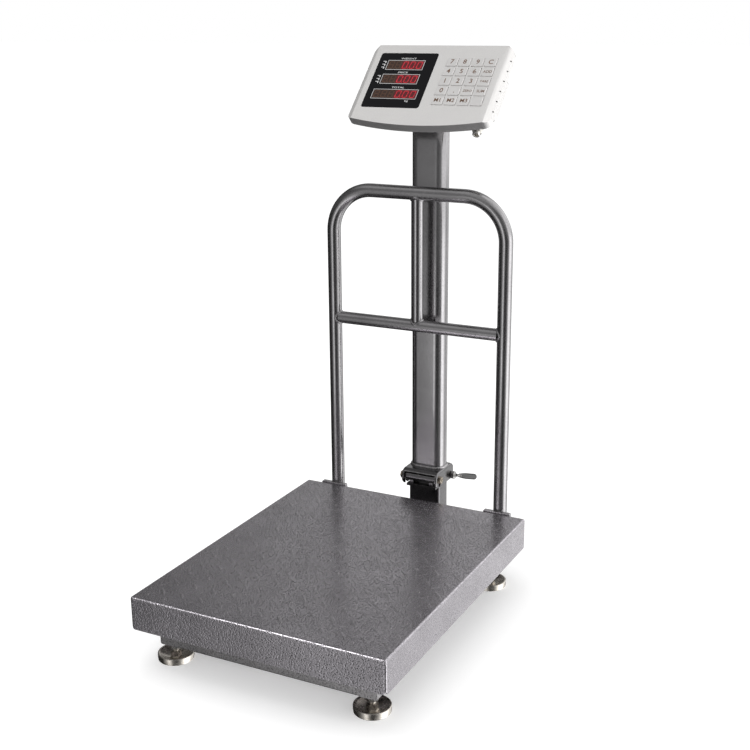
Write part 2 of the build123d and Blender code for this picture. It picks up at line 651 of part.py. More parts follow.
def head_rear_shell():
    """The back plate, the deeper box on it, the tilt lugs and the switch opening."""
    plate = Pos(0, 0, -FRONT_SHELL) * extrude(head_outline(0), -BACK_PLATE)
    middle = -(HUMP_TOP + HUMP_BOTTOM) / 2
    tall = HUMP_BOTTOM - HUMP_TOP
    depth = HUMP_BACK - FRONT_SHELL
    hump = Pos(0, middle, -FRONT_SHELL) * extrude(RectangleRounded(2 * HUMP_HALF, tall, 10), -depth)
    hump = chamfer(hump.faces().sort_by(Axis.Z)[0].edges(), 3.0)
    inner = RectangleRounded(2 * (HUMP_HALF - SHELL_WALL), tall - 2 * SHELL_WALL, 7.5)
    cavity = Pos(0, middle, -FRONT_SHELL + 1) * extrude(inner, -(depth - SHELL_WALL + 1))
    cavity = chamfer(cavity.faces().sort_by(Axis.Z)[0].edges(), 2.0)
    shell = plate + hump - cavity
    for side in (-1, 1):
        x0, x1 = sorted((side * LUG_INNER, side * LUG_OUTER))
        lug = block(x0, x1, -TILT_DOWN - 13, -TILT_DOWN + 13, -HUMP_BACK - 2, -HUMP_BACK + 1)
        web = block(x0, x1, -TILT_DOWN - 8, -TILT_DOWN + 8, -TILT_BACK, -HUMP_BACK + 1)
        shell += lug + web + rod_x(-TILT_DOWN, -TILT_BACK, x0, x1, 8)
    shell -= rod_x(-TILT_DOWN, -TILT_BACK, -30, 30, TILT_BOLT_RADIUS + RUNNING)
    for x, down in screw_places():
        shell -= Pos(x, -down, 0) * extrude(Circle(1.5), -30)
    shell -= Pos(SOCKET_X, -HUMP_BOTTOM, -SOCKET_BACK) * Rot(90, 0, 0) * Cylinder(5.0, 12)
    shell -= block(*SWITCH_OPENING)
    return HEAD_PLANE * shell


def display_window():
    """The dark window over the three read-outs."""
    pane = extrude(RectangleRounded(WINDOW_WIDTH, WINDOW_HEIGHT, 4), -WINDOW_THICK)
    return HEAD_PLANE * Pos(WINDOW_LEFT + WINDOW_WIDTH / 2, -WINDOW_TOP - WINDOW_HEIGHT / 2, 0) * pane


def digit_modules():
    """The weight, unit price and total read-outs, standing on the circuit board."""
    modules = []
    for left, right, top, bottom in ((-85.5, -20.5, 32, 52), (-85.5, -20.5, 61, 81), (-91, -12.5, 92, 111.5)):
        modules.append(HEAD_PLANE * block(left, right, -bottom, -top, -10.4, -3.0))
    return modules


def circuit_board():
    """The board behind the display and the keys."""
    return HEAD_PLANE * block(-98, 103, -132, -22, -12.0, -10.4)


def battery():
    """The sealed rechargeable battery in the box behind."""
    pack = block(-50, 40, -98, -52, -HUMP_BACK + SHELL_WALL, -20)
    return HEAD_PLANE * fillet(pack.edges().filter_by(Axis.Z), 2.0)


def signal_socket():
    """The round load-cell connector under the head, with its plug screwed on; the cord is left out."""
    flange = extrude(Circle(7.5), 2.0)
    body = extrude(Circle(6.0), 15.0)
    ring = Pos(0, 0, 5) * extrude(Circle(7.0), 6.0)
    tail = Pos(0, 0, -4) * extrude(Circle(5.0), 5.0)
    plug = Pos(0, 0, 13) * extrude(Circle(8.0), 11.0)
    cord_grip = Pos(0, 0, 24) * extrude(Circle(6.0), 6.0)
    cord_hole = Pos(0, 0, 20) * extrude(Circle(3.0), 12.0)
    socket = flange + body + ring + tail + plug + cord_grip - cord_hole
    return HEAD_PLANE * Pos(SOCKET_X, -HUMP_BOTTOM, -SOCKET_BACK) * Rot(90, 0, 0) * socket


def power_switch():
    """The rocker: a round drum with one flat face, resting tilted to its off side."""
    drum = extrude(Circle(SWITCH_RADIUS), SWITCH_WIDTH / 2, both=True)
    flat = Rot(0, 0, 8) * block(-20, 20, -20, -4.5, -10, 10)
    spindle = extrude(Circle(2.0), SWITCH_WIDTH / 2 + 0.2, both=True)
    return HEAD_PLANE * Pos(SWITCH_X, -HUMP_BOTTOM + 2.5, -SWITCH_BACK) * (drum - flat + spindle)


def head_screws():
    """Four screws that hold the two halves of the head together."""
    screws = []
    for x, down in screw_places():
        head = Pos(x, -down, -FRONT_SHELL - BACK_PLATE) * extrude(Circle(3.2), -2.2)
        shank = Pos(x, -down, -6) * extrude(Circle(1.5), -(FRONT_SHELL + BACK_PLATE - 6 + 1))
        screws.append(HEAD_PLANE * (head + shank))
    return screws


def key(across, down):
    """One key cap with the flange that keeps it behind the face."""
    cap = Pos(0, 0, KEY_PROUD) * extrude(RectangleRounded(KEY_WIDTH, KEY_HEIGHT, 1.5), -KEY_PROUD - 4)
    cap = chamfer(cap.faces().sort_by(Axis.Z)[-1].edges(), 0.5)
    flange = Pos(0, 0, -4) * extrude(Rectangle(KEY_WIDTH + 2.4, KEY_HEIGHT + 2.4), -1.2)
    return HEAD_PLANE * Pos(across, -down, 0) * (cap + flange)


# ---- write every sub-part -----------------------------------------------------------------------
os.makedirs("parts", exist_ok=True)
save("base_side_tubes", *base_side_tubes())
save("base_cross_tubes", *base_cross_tubes())
save("base_spine", base_spine())
save("load_cell", load_cell())
save("load_cell_spacers", *load_cell_spacers())
save("load_cell_bolts", *load_cell_bolts())
save("weigh_beam", weigh_beam())
save("weigh_arms", *weigh_arms())
save("pan_pads", *pan_pads())
save("overload_stops", *overload_stops())
save("foot_front_left", foot(-FOOT_X, -FOOT_Y))
save("foot_front_right", foot(FOOT_X, -FOOT_Y))
save("foot_rear_left", foot(-FOOT_X, FOOT_Y))
save("foot_rear_right", foot(FOOT_X, FOOT_Y))
save("foot_lock_nuts", *foot_lock_nuts())
save("platform_pan", platform_pan())
save("rail_hoop", rail_hoop())
save("rail_crossbar", rail_crossbar())
save("rail_centre_post", rail_centre_post())
save("rail_foot_plates", *rail_foot_plates())
save("rail_bolts", *rail_bolts())
save("column_stub", column_stub())
save("rest_bar", rest_bar())
save("rest_bar_bolt", rest_bar_bolt())
save("clamp_collar", clamp_collar())
save("hinge_bolt", hinge_bolt())
save("lever_arm", lever_arm())
save("lever_grip", lever_grip())
save("column_tube", column_tube())
save("head_bracket", head_bracket())
save("tilt_bolt", tilt_bolt())
save("head_front_shell", head_front_shell())
save("head_rear_shell", head_rear_shell())
save("display_window", display_window())
save("digit_modules", *digit_modules())
save("circuit_board", circuit_board())
save("battery", battery())
save("signal_socket", signal_socket())
save("power_switch", power_switch())
save("head_screws", *head_screws())
for name, across, down in key_places():
    save(f"key_{name}", key(across, down))
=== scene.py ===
"""Looks of the folding-column platform scale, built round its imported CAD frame.

Metres, +Z up, +X to the right of someone in front of it, +Y to the back.  Places come from the frame's
boxes.  Sizes that the boxes don't give are the named values below.
"""

import json
from math import cos, pi, radians, sin, sqrt, tan

import bmesh
import bpy
from mathutils import Matrix, Vector, noise

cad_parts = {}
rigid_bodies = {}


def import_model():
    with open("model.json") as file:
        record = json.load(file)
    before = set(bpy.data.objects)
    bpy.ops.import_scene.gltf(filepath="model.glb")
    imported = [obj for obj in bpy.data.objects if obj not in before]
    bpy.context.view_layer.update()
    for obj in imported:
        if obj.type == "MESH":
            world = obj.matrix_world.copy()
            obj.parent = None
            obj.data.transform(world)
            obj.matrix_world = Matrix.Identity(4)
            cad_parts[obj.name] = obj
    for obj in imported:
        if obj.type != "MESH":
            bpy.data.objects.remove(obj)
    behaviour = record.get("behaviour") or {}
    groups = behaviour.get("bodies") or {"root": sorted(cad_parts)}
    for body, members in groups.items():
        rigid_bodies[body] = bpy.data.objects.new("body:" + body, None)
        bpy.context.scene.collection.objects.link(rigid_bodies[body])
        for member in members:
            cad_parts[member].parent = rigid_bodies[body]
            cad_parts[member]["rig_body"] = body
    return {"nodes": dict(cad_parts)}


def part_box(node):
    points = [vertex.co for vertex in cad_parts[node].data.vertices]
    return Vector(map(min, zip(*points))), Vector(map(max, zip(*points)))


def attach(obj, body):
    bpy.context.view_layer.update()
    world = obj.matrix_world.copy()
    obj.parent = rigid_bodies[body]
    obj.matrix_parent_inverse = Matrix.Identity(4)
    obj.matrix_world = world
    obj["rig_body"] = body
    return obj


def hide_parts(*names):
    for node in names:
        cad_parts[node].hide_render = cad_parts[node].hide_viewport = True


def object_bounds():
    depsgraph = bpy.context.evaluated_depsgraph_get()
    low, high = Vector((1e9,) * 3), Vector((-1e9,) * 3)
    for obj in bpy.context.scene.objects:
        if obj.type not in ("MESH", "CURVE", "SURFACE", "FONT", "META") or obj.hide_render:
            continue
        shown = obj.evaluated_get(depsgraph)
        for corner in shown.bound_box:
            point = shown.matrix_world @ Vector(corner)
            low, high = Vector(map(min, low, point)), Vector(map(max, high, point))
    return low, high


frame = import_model()
CAD_LOW, CAD_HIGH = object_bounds()
MM = 0.001

# ---- sizes that the frame's boxes don't give ------------------------------------------------------
PAN_FOLD = 3.5 * MM             # outer radius of the pan's folded edges
PAN_SHEET = 2.0 * MM
SLIT_HALF_ANGLE = radians(10)   # half of the open seam at each folded corner, seen from the fold's centre
SKIRT_CORNER = 5.0 * MM         # rounding of the skirt's lower corners at the seam
TREAD_PITCH = 32.0 * MM
TREAD_LENGTH = 23.0 * MM
TREAD_WIDTH = 5.8 * MM
TREAD_HEIGHT = 0.22 * MM

RAIL_RADIUS = 11.0 * MM
RAIL_BEND = 69.0 * MM
BAR_RADIUS = 10.0 * MM
POST_RADIUS = 9.5 * MM
WELD = 1.9 * MM

FRAME_CORNER = 2.6 * MM
COLUMN_CORNER = 15.0 * MM

FOOT_RIM = 10.5 * MM
FOOT_DISH = 38.3 * MM           # radius of the hollow in the foot's disc
FOOT_HOLLOW = 8.3 * MM          # depth of the hollow at its middle
FOOT_HOLLOW_EDGE = 23.6 * MM    # radius at which the hollow starts
STUD_RADIUS = 5.0 * MM
STUD_PITCH = 1.5 * MM

LEVER_DROP = radians(21)        # below level, pointing back
LEVER_ARM = 2.8 * MM
LEVER_HUB = 6.5 * MM
LEVER_HUB_WIDTH = 7.0 * MM
LEVER_ARM_INSET = 2.2 * MM     # from the hub's outer end to the middle of the arm
GRIP_START = 27.0 * MM
GRIP_LENGTH = 73.0 * MM
GRIP_RADIUS = 5.2 * MM

HEAD_LEAN = radians(45)
HEAD_SHELL = 13.0 * MM          # depth of the head's front half
FACE_HALF = 109.0 * MM          # across the face, where its outer edges start
FACE_TOP = 4.0 * MM             # the same, down the face
FACE_BOTTOM = 138.0 * MM
KEY_PROUD = 1.5 * MM
PRINT = 0.06 * MM               # thickness of printed marks


# ---- meshes ---------------------------------------------------------------------------------------
QUARTERS = ((1, 1), (-1, 1), (-1, -1), (1, -1))        # the signs of x and y, quarter by quarter


def circle(steps):
    """Evenly spaced angles, once round."""
    return [2 * pi * step / steps for step in range(steps)]


class Shape:
    """Points and faces being gathered for one piece; place says where its own axes lie."""

    def __init__(self, place=Matrix.Identity(4)):
        self.place = place
        self.points = []
        self.faces = []

    def at(self, place):
        """Goes on in other axes."""
        self.place = place
        return self

    def skin(self, rings, closed=False, caps=True):
        """Joins rings of points, one after the other, with quads."""
        first = len(self.points)
        size = len(rings[0])
        count = len(rings)
        for ring in rings:
            self.points += [self.place @ Vector(point) for point in ring]
        for step in range(count if closed else count - 1):
            here = first + step * size
            there = first + (step + 1) % count * size
            for side in range(size):
                after = (side + 1) % size
                self.faces.append((here + side, here + after, there + after, there + side))
        if caps and not closed:
            last = first + (count - 1) * size
            self.faces.append(tuple(range(first, first + size))[::-1])
            self.faces.append(tuple(range(last, last + size)))
        return self

    def lathe(self, profile, sides=64):
        """Turns (radius, height) points about the own Z axis."""
        return self.skin([[(r * cos(a), r * sin(a), z) for a in circle(sides)] for r, z in profile])

    def turned(self, *profile, sides=64):
        """Turns (radius, height) points given in millimetres about the own Z axis."""
        return self.lathe([(r * MM, z * MM) for r, z in profile], sides)

    def hexagon(self, across_flats, bottom, top, both=False):
        """A spanner hexagon with the corners of one or both ends turned off at 30 degrees."""
        apothem = across_flats / 2
        crown = 0.95 * apothem
        turns = circle(48)
        reach = [apothem / cos((turn + pi / 6) % (pi / 3) - pi / 6) for turn in turns]
        lost = [(r - crown) * tan(pi / 6) for r in reach]

        def ring(radii, heights):
            return [(r * cos(a), r * sin(a), z) for r, a, z in zip(radii, turns, heights)]

        rings = [ring(reach, [top - gone for gone in lost]), ring([crown] * 48, [top] * 48)]
        if both:
            low = [bottom + gone for gone in lost]
            rings = [ring([crown] * 48, [bottom] * 48), ring(reach, low)] + rings
        else:
            rings = [ring(reach, [bottom] * 48)] + rings
        return self.skin(rings)

    def thread(self, radius, bottom, top, pitch=STUD_PITCH, sides=24):
        """A threaded rod."""
        depth = 0.5 * pitch
        steps = int((top - bottom) / pitch * 6)
        rings = []
        for step in range(steps + 1):
            z = bottom + (top - bottom) * step / steps
            ring = []
            for side, turn in enumerate(circle(sides)):
                tooth = abs(2 * ((z / pitch - side / sides) % 1) - 1)
                r = radius - depth * tooth
                ring.append((r * cos(turn), r * sin(turn), z))
            rings.append(ring)
        return self.skin(rings)

    def tube(self, path, radius, flat, sides=40):
        """A round tube along a path that lies in the plane across the direction flat."""
        rings = []
        for step, point in enumerate(path):
            before = path[max(step - 1, 0)]
            after = path[min(step + 1, len(path) - 1)]
            across = (after - before).normalized().cross(flat)
            rings.append([point + radius * (cos(a) * across + sin(a) * flat) for a in circle(sides)])
        return self.skin(rings)

    def bead(self, path, centre, radius, sides=10):
        """A weld bead along a closed path round a centre, laid in overlapping scales."""
        count = len(path)
        rings = []
        for step, point in enumerate(path):
            along = (path[(step + 1) % count] - path[step - 1]).normalized()
            outward = point - centre
            outward -= along * outward.dot(along)
            outward.normalize()
            beside = along.cross(outward)
            scale = 0.10 * abs(sin(pi * step / 3)) + 0.10 * noise.noise(point / (7 * MM))
            thick = radius * (0.92 + scale)
            rings.append([point + thick * (cos(a) * outward + sin(a) * beside) for a in circle(sides)])
        return self.skin(rings, closed=True)

    def bar(self, low, high, corner, levels, steps=8):
        """A bar along its own Z with rounded corners, drawn in by so much at each (inset, height)."""
        middle = (Vector(low) + Vector(high)) / 2
        wide = high[0] - low[0]
        deep = high[1] - low[1]
        rings = []
        for inset, z in levels:
            outline = rounded(wide - 2 * inset, deep - 2 * inset, corner - inset, steps)
            rings.append([(x + middle.x, y + middle.y, z) for x, y in outline])
        return self.skin(rings)

    def box(self, low, high, corner, edge=0.5 * MM):
        """A bar with lightly broken ends."""
        levels = ((edge, low[2]), (0, low[2] + edge), (0, high[2] - edge), (edge, high[2]))
        return self.bar(low, high, corner, levels)

    def made(self, name):
        """The Blender object."""
        mesh = bpy.data.meshes.new(name)
        mesh.from_pydata(self.points, [], self.faces)
        return linked(name, mesh)


def linked(name, mesh):
    """An object in the scene for a mesh, its faces turned outward and shaded smooth."""
    net = bmesh.new()
    net.from_mesh(mesh)
    bmesh.ops.recalc_face_normals(net, faces=net.faces)
    net.to_mesh(mesh)
    net.free()
    mesh.shade_smooth()
    mesh.set_sharp_from_angle(angle=radians(38))
    piece = bpy.data.objects.new(name, mesh)
    bpy.context.scene.collection.objects.link(piece)
    return piece


def rounded(width, depth, corner, steps=8):
    """Outline points of a rounded rectangle about the origin."""
    points = []
    for quarter, (sx, sy) in enumerate(QUARTERS):
        for step in range(steps + 1):
            turn = (quarter + step / steps) * pi / 2
            x = sx * (width / 2 - corner) + corner * cos(turn)
            y = sy * (depth / 2 - corner) + corner * sin(turn)
            points.append((x, y))
    return points


def axes(origin, z_axis, x_axis=None):
    """A frame at a point, with its Z along one direction."""
    z_axis = Vector(z_axis).normalized()
    x_axis = Vector(x_axis or ((0, 0, 1) if abs(z_axis.z) < 0.9 else (1, 0, 0)))
    x_axis = (x_axis - z_axis * x_axis.dot(z_axis)).normalized()
    y_axis = z_axis.cross(x_axis)
    turned = Matrix((x_axis, y_axis, z_axis)).transposed().to_4x4()
    return Matrix.Translation(origin) @ turned


def applied(piece):
    """Turns a piece's modifiers into its mesh."""
    graph = bpy.context.evaluated_depsgraph_get()
    graph.update()
    mesh = bpy.data.meshes.new_from_object(piece.evaluated_get(graph))
    piece.modifiers.clear()
    piece.data = mesh
    return piece


def cut(piece, cutter):
    """Takes a closed shape away from a piece."""
    step = piece.modifiers.new("cut", "BOOLEAN")
    step.operation = "DIFFERENCE"
    step.object = cutter
    step.solver = "EXACT"
    applied(piece)
    bpy.data.objects.remove(cutter)
    return piece


def solid_boxes(node):
    """The lowest and highest corner of every separate solid in a CAD node."""
    net = bmesh.new()
    net.from_mesh(frame["nodes"][node].data)
    bmesh.ops.remove_doubles(net, verts=net.verts, dist=0.001 * MM)
    seen = set()
    boxes = []
    for start in net.verts:
        if start in seen:
            continue
        seen.add(start)
        group = [start]
        for vert in group:
            for edge in vert.link_edges:
                other = edge.other_vert(vert)
                if other not in seen:
                    seen.add(other)
                    group.append(other)
        low = Vector([min(v.co[axis] for v in group) for axis in range(3)])
        high = Vector([max(v.co[axis] for v in group) for axis in range(3)])
        boxes.append((low, high))
    net.free()
    return sorted(boxes, key=lambda pair: tuple(round(value, 4) for value in pair[0]))


def softened(node, *rounds):
    """A copy of a CAD node with its edges rounded; each round is (width, which edges by their middle)."""
    net = bmesh.new()
    net.from_mesh(frame["nodes"][node].data)
    bmesh.ops.remove_doubles(net, verts=net.verts, dist=0.001 * MM)
    bmesh.ops.dissolve_limit(net, angle_limit=radians(0.4), verts=net.verts, edges=net.edges)
    for width, chosen in rounds:
        edges = []
        for edge in net.edges:
            middle = (edge.verts[0].co + edge.verts[1].co) / 2
            if edge.is_manifold and edge.calc_face_angle(0) > radians(32) and chosen(middle):
                edges.append(edge)
        bmesh.ops.bevel(net, geom=edges, offset=width, segments=3, profile=0.5, affect="EDGES",
                        clamp_overlap=True, miter_outer="ARC")
    mesh = bpy.data.meshes.new(node + "_softened")
    net.to_mesh(mesh)
    net.free()
    for name in ("custom_normal", "UVMap"):
        if name in mesh.attributes:
            mesh.attributes.remove(mesh.attributes[name])
    piece = linked(node + "_finished", mesh)
    weight = piece.modifiers.new("weight", "WEIGHTED_NORMAL")
    weight.keep_sharp = True
    weight.weight = 80
    return piece


def everywhere(point):
    """Chooses every edge."""
    return True


def settle(piece, body, slot, material, *replaced):
    """Gives a piece its material, its body and the CAD nodes that it stands for."""
    piece.data.materials.clear()
    piece.data.materials.append(material)
    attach(piece, body)
    if replaced:
        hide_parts(*replaced)
    return piece


def finished(node, width, slot, material):
    """Stands a copy of a CAD node with every edge rounded in its place, on the same body."""
    body = frame["nodes"][node]["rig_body"]
    return settle(softened(node, (width, everywhere)), body, slot, material, node)


# ---- materials ------------------------------------------------------------------------------------
class Nodes:
    """Short ways to add nodes to a tree."""

    def __init__(self, tree):
        self.tree = tree

    def node(self, kind, inputs=(), **settings):
        made = self.tree.nodes.new(kind)
        for setting, value in settings.items():
            setattr(made, setting, value)
        for socket, value in dict(inputs).items():
            self.feed(made.inputs[socket], value)
        return made

    def feed(self, socket, value):
        if isinstance(value, bpy.types.NodeSocket):
            self.tree.links.new(value, socket)
        else:
            socket.default_value = value

    def ramp(self, factor, *stops):
        """Maps 0..1 through (position, grey or colour) stops."""
        made = self.node("ShaderNodeValToRGB", {"Fac": factor})
        points = made.color_ramp.elements
        while len(points) < len(stops):
            points.new(0.5)
        for point, (position, value) in zip(points, stops):
            point.position = position
            colour = (value,) * 3 if isinstance(value, (int, float)) else value
            point.color = (*colour, 1)
        return made.outputs["Color"]

    def sum(self, first, second, operation="ADD"):
        """Arithmetic on two values."""
        return self.node("ShaderNodeMath", {0: first, 1: second}, operation=operation).outputs[0]

    def mix(self, factor, first, second, blend="MIX"):
        """Blends two colours."""
        made = self.node("ShaderNodeMix", data_type="RGBA", blend_type=blend)
        self.feed(made.inputs["Factor"], factor)
        for socket, value in ((made.inputs[6], first), (made.inputs[7], second)):
            self.feed(socket, value if isinstance(value, bpy.types.NodeSocket) else (*value, 1))
        return made.outputs[2]


class Finish(Nodes):
    """A Principled material being put together from procedural nodes, in the object's own metres."""

    def __init__(self, name, **values):
        self.material = bpy.data.materials.new(name)
        self.material.use_nodes = True
        super().__init__(self.material.node_tree)
        self.shader = self.tree.nodes["Principled BSDF"]
        self.where = self.node("ShaderNodeTexCoord").outputs["Object"]
        for socket, value in values.items():
            self.shader.inputs[socket.replace("_", " ")].default_value = value

    def noise(self, size, detail=3.0, rough=0.55, where=None):
        """Noise whose features are about size metres across."""
        inputs = {"Vector": where or self.where, "Scale": 1 / size, "Detail": detail, "Roughness": rough}
        return self.node("ShaderNodeTexNoise", inputs).outputs["Fac"]

    def stretched(self, x, y, z):
        """The object's coordinates, stretched by a factor along each axis."""
        inputs = {"Vector": self.where, "Scale": (1 / x, 1 / y, 1 / z)}
        return self.node("ShaderNodeMapping", inputs).outputs[0]

    def cells(self, size, jitter=0.0):
        """Distance from the middles of rounded cells about size metres across."""
        where = self.where
        if jitter:
            scale = {"Vector": self.where, "Scale": 1 / (size * 1.6), "Detail": 2.0}
            drift = self.node("ShaderNodeTexNoise", scale).outputs["Color"]
            moved = self.node("ShaderNodeVectorMath", {0: drift, "Scale": jitter * size}, operation="SCALE")
            where = self.node("ShaderNodeVectorMath", {0: self.where, 1: moved.outputs[0]}).outputs[0]
        inputs = {"Vector": where, "Scale": 1 / size, "Smoothness": 0.6}
        return self.node("ShaderNodeTexVoronoi", inputs, feature="SMOOTH_F1").outputs["Distance"]

    def edges(self, radius):
        """About 1 on sharp convex or concave edges, 0 on flats."""
        bent = self.node("ShaderNodeBevel", {"Radius": radius}, samples=4).outputs[0]
        flat = self.node("ShaderNodeNewGeometry").outputs["Normal"]
        match = self.node("ShaderNodeVectorMath", {0: bent, 1: flat}, operation="DOT_PRODUCT")
        return self.ramp(match.outputs["Value"], (0.80, 1.0), (0.985, 0.0))

    def bump(self, height, depth, strength=1.0, below=None):
        """A bump of so many metres; below is the normal under it."""
        inputs = {"Height": height, "Distance": depth, "Strength": strength}
        if below is not None:
            inputs["Normal"] = below
        return self.node("ShaderNodeBump", inputs).outputs[0]

    def edge_wear_and_highlight(self, colour, radius, bare_metal_and_highlight, amount=0.6):
        """Lightens broken patches along the edges: worn paint, and also a painted highlight along the edges.
        """
        patches = self.ramp(self.noise(7 * MM, 4), (0.42, 0.0), (0.62, amount))
        worn_and_highlit = self.sum(self.edges(radius), patches, "MULTIPLY")
        return self.mix(worn_and_highlit, colour, bare_metal_and_highlight)

    def done(self, colour=None, roughness=None, normal=None):
        """Plugs the finished channels in."""
        for socket, value in (("Base Color", colour), ("Roughness", roughness), ("Normal", normal)):
            if value is not None:
                self.feed(self.shader.inputs[socket], value)
        return self.material


def hammered(name, dark, light, cell, depth, roughness, metallic=0.97, bare_metal_and_highlight=(0.75, 0.74, 0.73)):
    """Hammertone paint: pits in a brighter flowed film."""
    paint = Finish(name, Metallic=metallic, Coat_Weight=0.25, Coat_Roughness=0.12)
    film = paint.ramp(paint.cells(cell, 0.35), (0.05, 0.0), (0.50, 1.0))
    cloud = paint.ramp(paint.noise(60 * MM, 4), (0.3, 0.82), (0.7, 1.0))
    colour = paint.mix(1.0, paint.mix(film, dark, light), cloud, "MULTIPLY")
    colour = paint.edge_wear_and_highlight(colour, 1.2 * MM, bare_metal_and_highlight, 0.7)
    grain = paint.noise(0.6 * MM, 2)
    rough = paint.ramp(paint.sum(film, paint.noise(4 * MM, 3), "MULTIPLY"),
                       (0.0, roughness + 0.08), (0.7, roughness - 0.04))
    normal = paint.bump(grain, 0.02 * MM, 0.6, paint.bump(film, depth))
    return paint.done(colour, rough, normal)


def plated(name, tint, roughness, streak=1.0):
    """Bright plated steel with fine scratches and dull patches."""
    metal = Finish(name, Metallic=1.0)
    scratches = metal.noise(0.5 * MM, 4, 0.7, metal.stretched(1, 1, 12 * streak))
    patches = metal.noise(6 * MM, 3)
    colour = metal.mix(metal.ramp(patches, (0.35, 0.0), (0.7, 0.35)), tint, [c * 0.55 for c in tint])
    spread = metal.sum(scratches, patches, "MULTIPLY")
    rough = metal.ramp(spread, (0.1, roughness - 0.06), (0.45, roughness + 0.14))
    return metal.done(metal.edge_wear_and_highlight(colour, 0.5 * MM, (0.9, 0.88, 0.85), 0.5), rough,
                      metal.bump(scratches, 0.02 * MM, 0.5))


def turned_nickel():
    """Nickel-plated turned steel: rings from the lathe and a warm cast."""
    metal = Finish("turned_nickel", Metallic=1.0)
    patches = metal.noise(8 * MM, 3)
    rings = metal.noise(0.35 * MM, 3, 0.6, metal.stretched(40, 40, 1))
    colour = metal.mix(patches, (0.56, 0.52, 0.47), (0.74, 0.70, 0.64))
    colour = metal.edge_wear_and_highlight(colour, 0.8 * MM, (0.92, 0.9, 0.86), 0.6)
    return metal.done(colour, metal.ramp(patches, (0.3, 0.2), (0.7, 0.34)), metal.bump(rings, 0.03 * MM, 0.7))


def brushed(name, tint, roughness):
    """Brushed or sawn aluminium along Y."""
    metal = Finish(name, Metallic=1.0, Anisotropic=0.4)
    lines = metal.noise(0.4 * MM, 3, 0.6, metal.stretched(1, 30, 1))
    patches = metal.noise(15 * MM, 3)
    colour = metal.mix(patches, tint, [c * 0.8 for c in tint])
    return metal.done(metal.edge_wear_and_highlight(colour, 0.6 * MM, (0.95, 0.95, 0.95)),
                      metal.ramp(lines, (0.3, roughness), (0.7, roughness + 0.15)),
                      metal.bump(lines, 0.03 * MM, 0.6))


def moulded(name, dark, light, roughness, grain=0.35 * MM, metallic=0.0, coat=0.0):
    """Moulded plastic or rubber with a fine spark texture."""
    skin = Finish(name, Metallic=metallic, Coat_Weight=coat, Coat_Roughness=0.1)
    texture = skin.noise(grain, 3, 0.6)
    cloud = skin.noise(30 * MM, 3)
    colour = skin.mix(skin.sum(cloud, texture, "MULTIPLY"), dark, light)
    colour = skin.edge_wear_and_highlight(colour, 0.6 * MM, [min(1.0, c * 1.35 + 0.02) for c in light], 0.5)
    return skin.done(colour, skin.ramp(cloud, (0.3, roughness - 0.04), (0.7, roughness + 0.06)),
                     skin.bump(texture, 0.02 * MM, 0.8))


def silver_plastic():
    """The head's silver paint: metal flake under a satin lacquer, with painted shade on the faces that look
    down.
    """
    skin = Finish("silver_plastic", Metallic=0.65, Coat_Weight=0.25, Coat_Roughness=0.15)
    flake = skin.ramp(skin.cells(0.45 * MM), (0.1, 0.0), (0.5, 1.0))
    cloud = skin.noise(50 * MM, 3)
    colour = skin.mix(flake, (0.80, 0.785, 0.775), (0.97, 0.955, 0.94))
    colour = skin.mix(skin.ramp(cloud, (0.3, 0.0), (0.7, 0.4)), colour, (0.86, 0.845, 0.835))
    # Faces that look down are painted darker: painted shade under the head.
    downward = skin.node("ShaderNodeSeparateXYZ", {0: skin.node("ShaderNodeNewGeometry").outputs["Normal"]})
    painted_underside_shade = skin.ramp(skin.sum(downward.outputs["Z"], -1.0, "MULTIPLY"), (0.15, 0.0), (0.6, 1.0))
    colour = skin.mix(painted_underside_shade, colour, (0.30, 0.295, 0.295))
    colour = skin.edge_wear_and_highlight(colour, 0.8 * MM, (0.95, 0.94, 0.94), 0.55)
    return skin.done(colour, skin.ramp(cloud, (0.3, 0.33), (0.7, 0.42)),
                     skin.bump(skin.noise(0.3 * MM, 2), 0.015 * MM, 0.7))


def window_black():
    """Smoked acrylic: near black, glossy, with faint dust and hairlines."""
    skin = Finish("window_black", IOR=1.16)
    dust = skin.noise(0.5 * MM, 4, 0.7)
    hairlines = skin.noise(0.25 * MM, 2, 0.5, skin.stretched(60, 1, 1))
    colour = skin.mix(skin.ramp(dust, (0.6, 0.0), (0.75, 0.3)), (0.009, 0.009, 0.010), (0.026, 0.026, 0.027))
    rough = skin.ramp(skin.sum(dust, hairlines, "MULTIPLY"), (0.2, 0.10), (0.45, 0.22))
    return skin.done(colour, rough, skin.bump(hairlines, 0.004 * MM, 0.4))


def glowing(name, colour, strength, dots=True):
    """Red read-out light, brighter in the middle of each diode."""
    lamp = Finish(name, Roughness=0.4, Emission_Strength=strength)
    spots = lamp.ramp(lamp.cells(1.5 * MM), (0.0, 1.0), (0.6, 0.45 if dots else 0.9))
    glow = lamp.mix(1.0, spots, colour, "MULTIPLY")
    lamp.feed(lamp.shader.inputs["Emission Color"], glow)
    return lamp.done(lamp.mix(0.5, glow, colour))


def printed(name, dark, light):
    """Screen-printed ink with slightly uneven cover."""
    ink = Finish(name, Roughness=0.5)
    cover = ink.ramp(ink.noise(0.6 * MM, 3), (0.3, 0.0), (0.7, 1.0))
    return ink.done(ink.mix(cover, dark, light), None, ink.bump(cover, 0.01 * MM, 0.5))


def board_green():
    """Green solder mask over copper tracks."""
    skin = Finish("board_green", Coat_Weight=0.4)
    tracks = skin.node("ShaderNodeTexBrick", {"Vector": skin.where, "Scale": 120.0, "Mortar Size": 0.03})
    colour = skin.mix(tracks.outputs["Fac"], (0.01, 0.10, 0.03), (0.03, 0.20, 0.06))
    return skin.done(colour, skin.ramp(skin.noise(5 * MM), (0.3, 0.3), (0.7, 0.45)),
                     skin.bump(tracks.outputs["Fac"], 0.03 * MM))


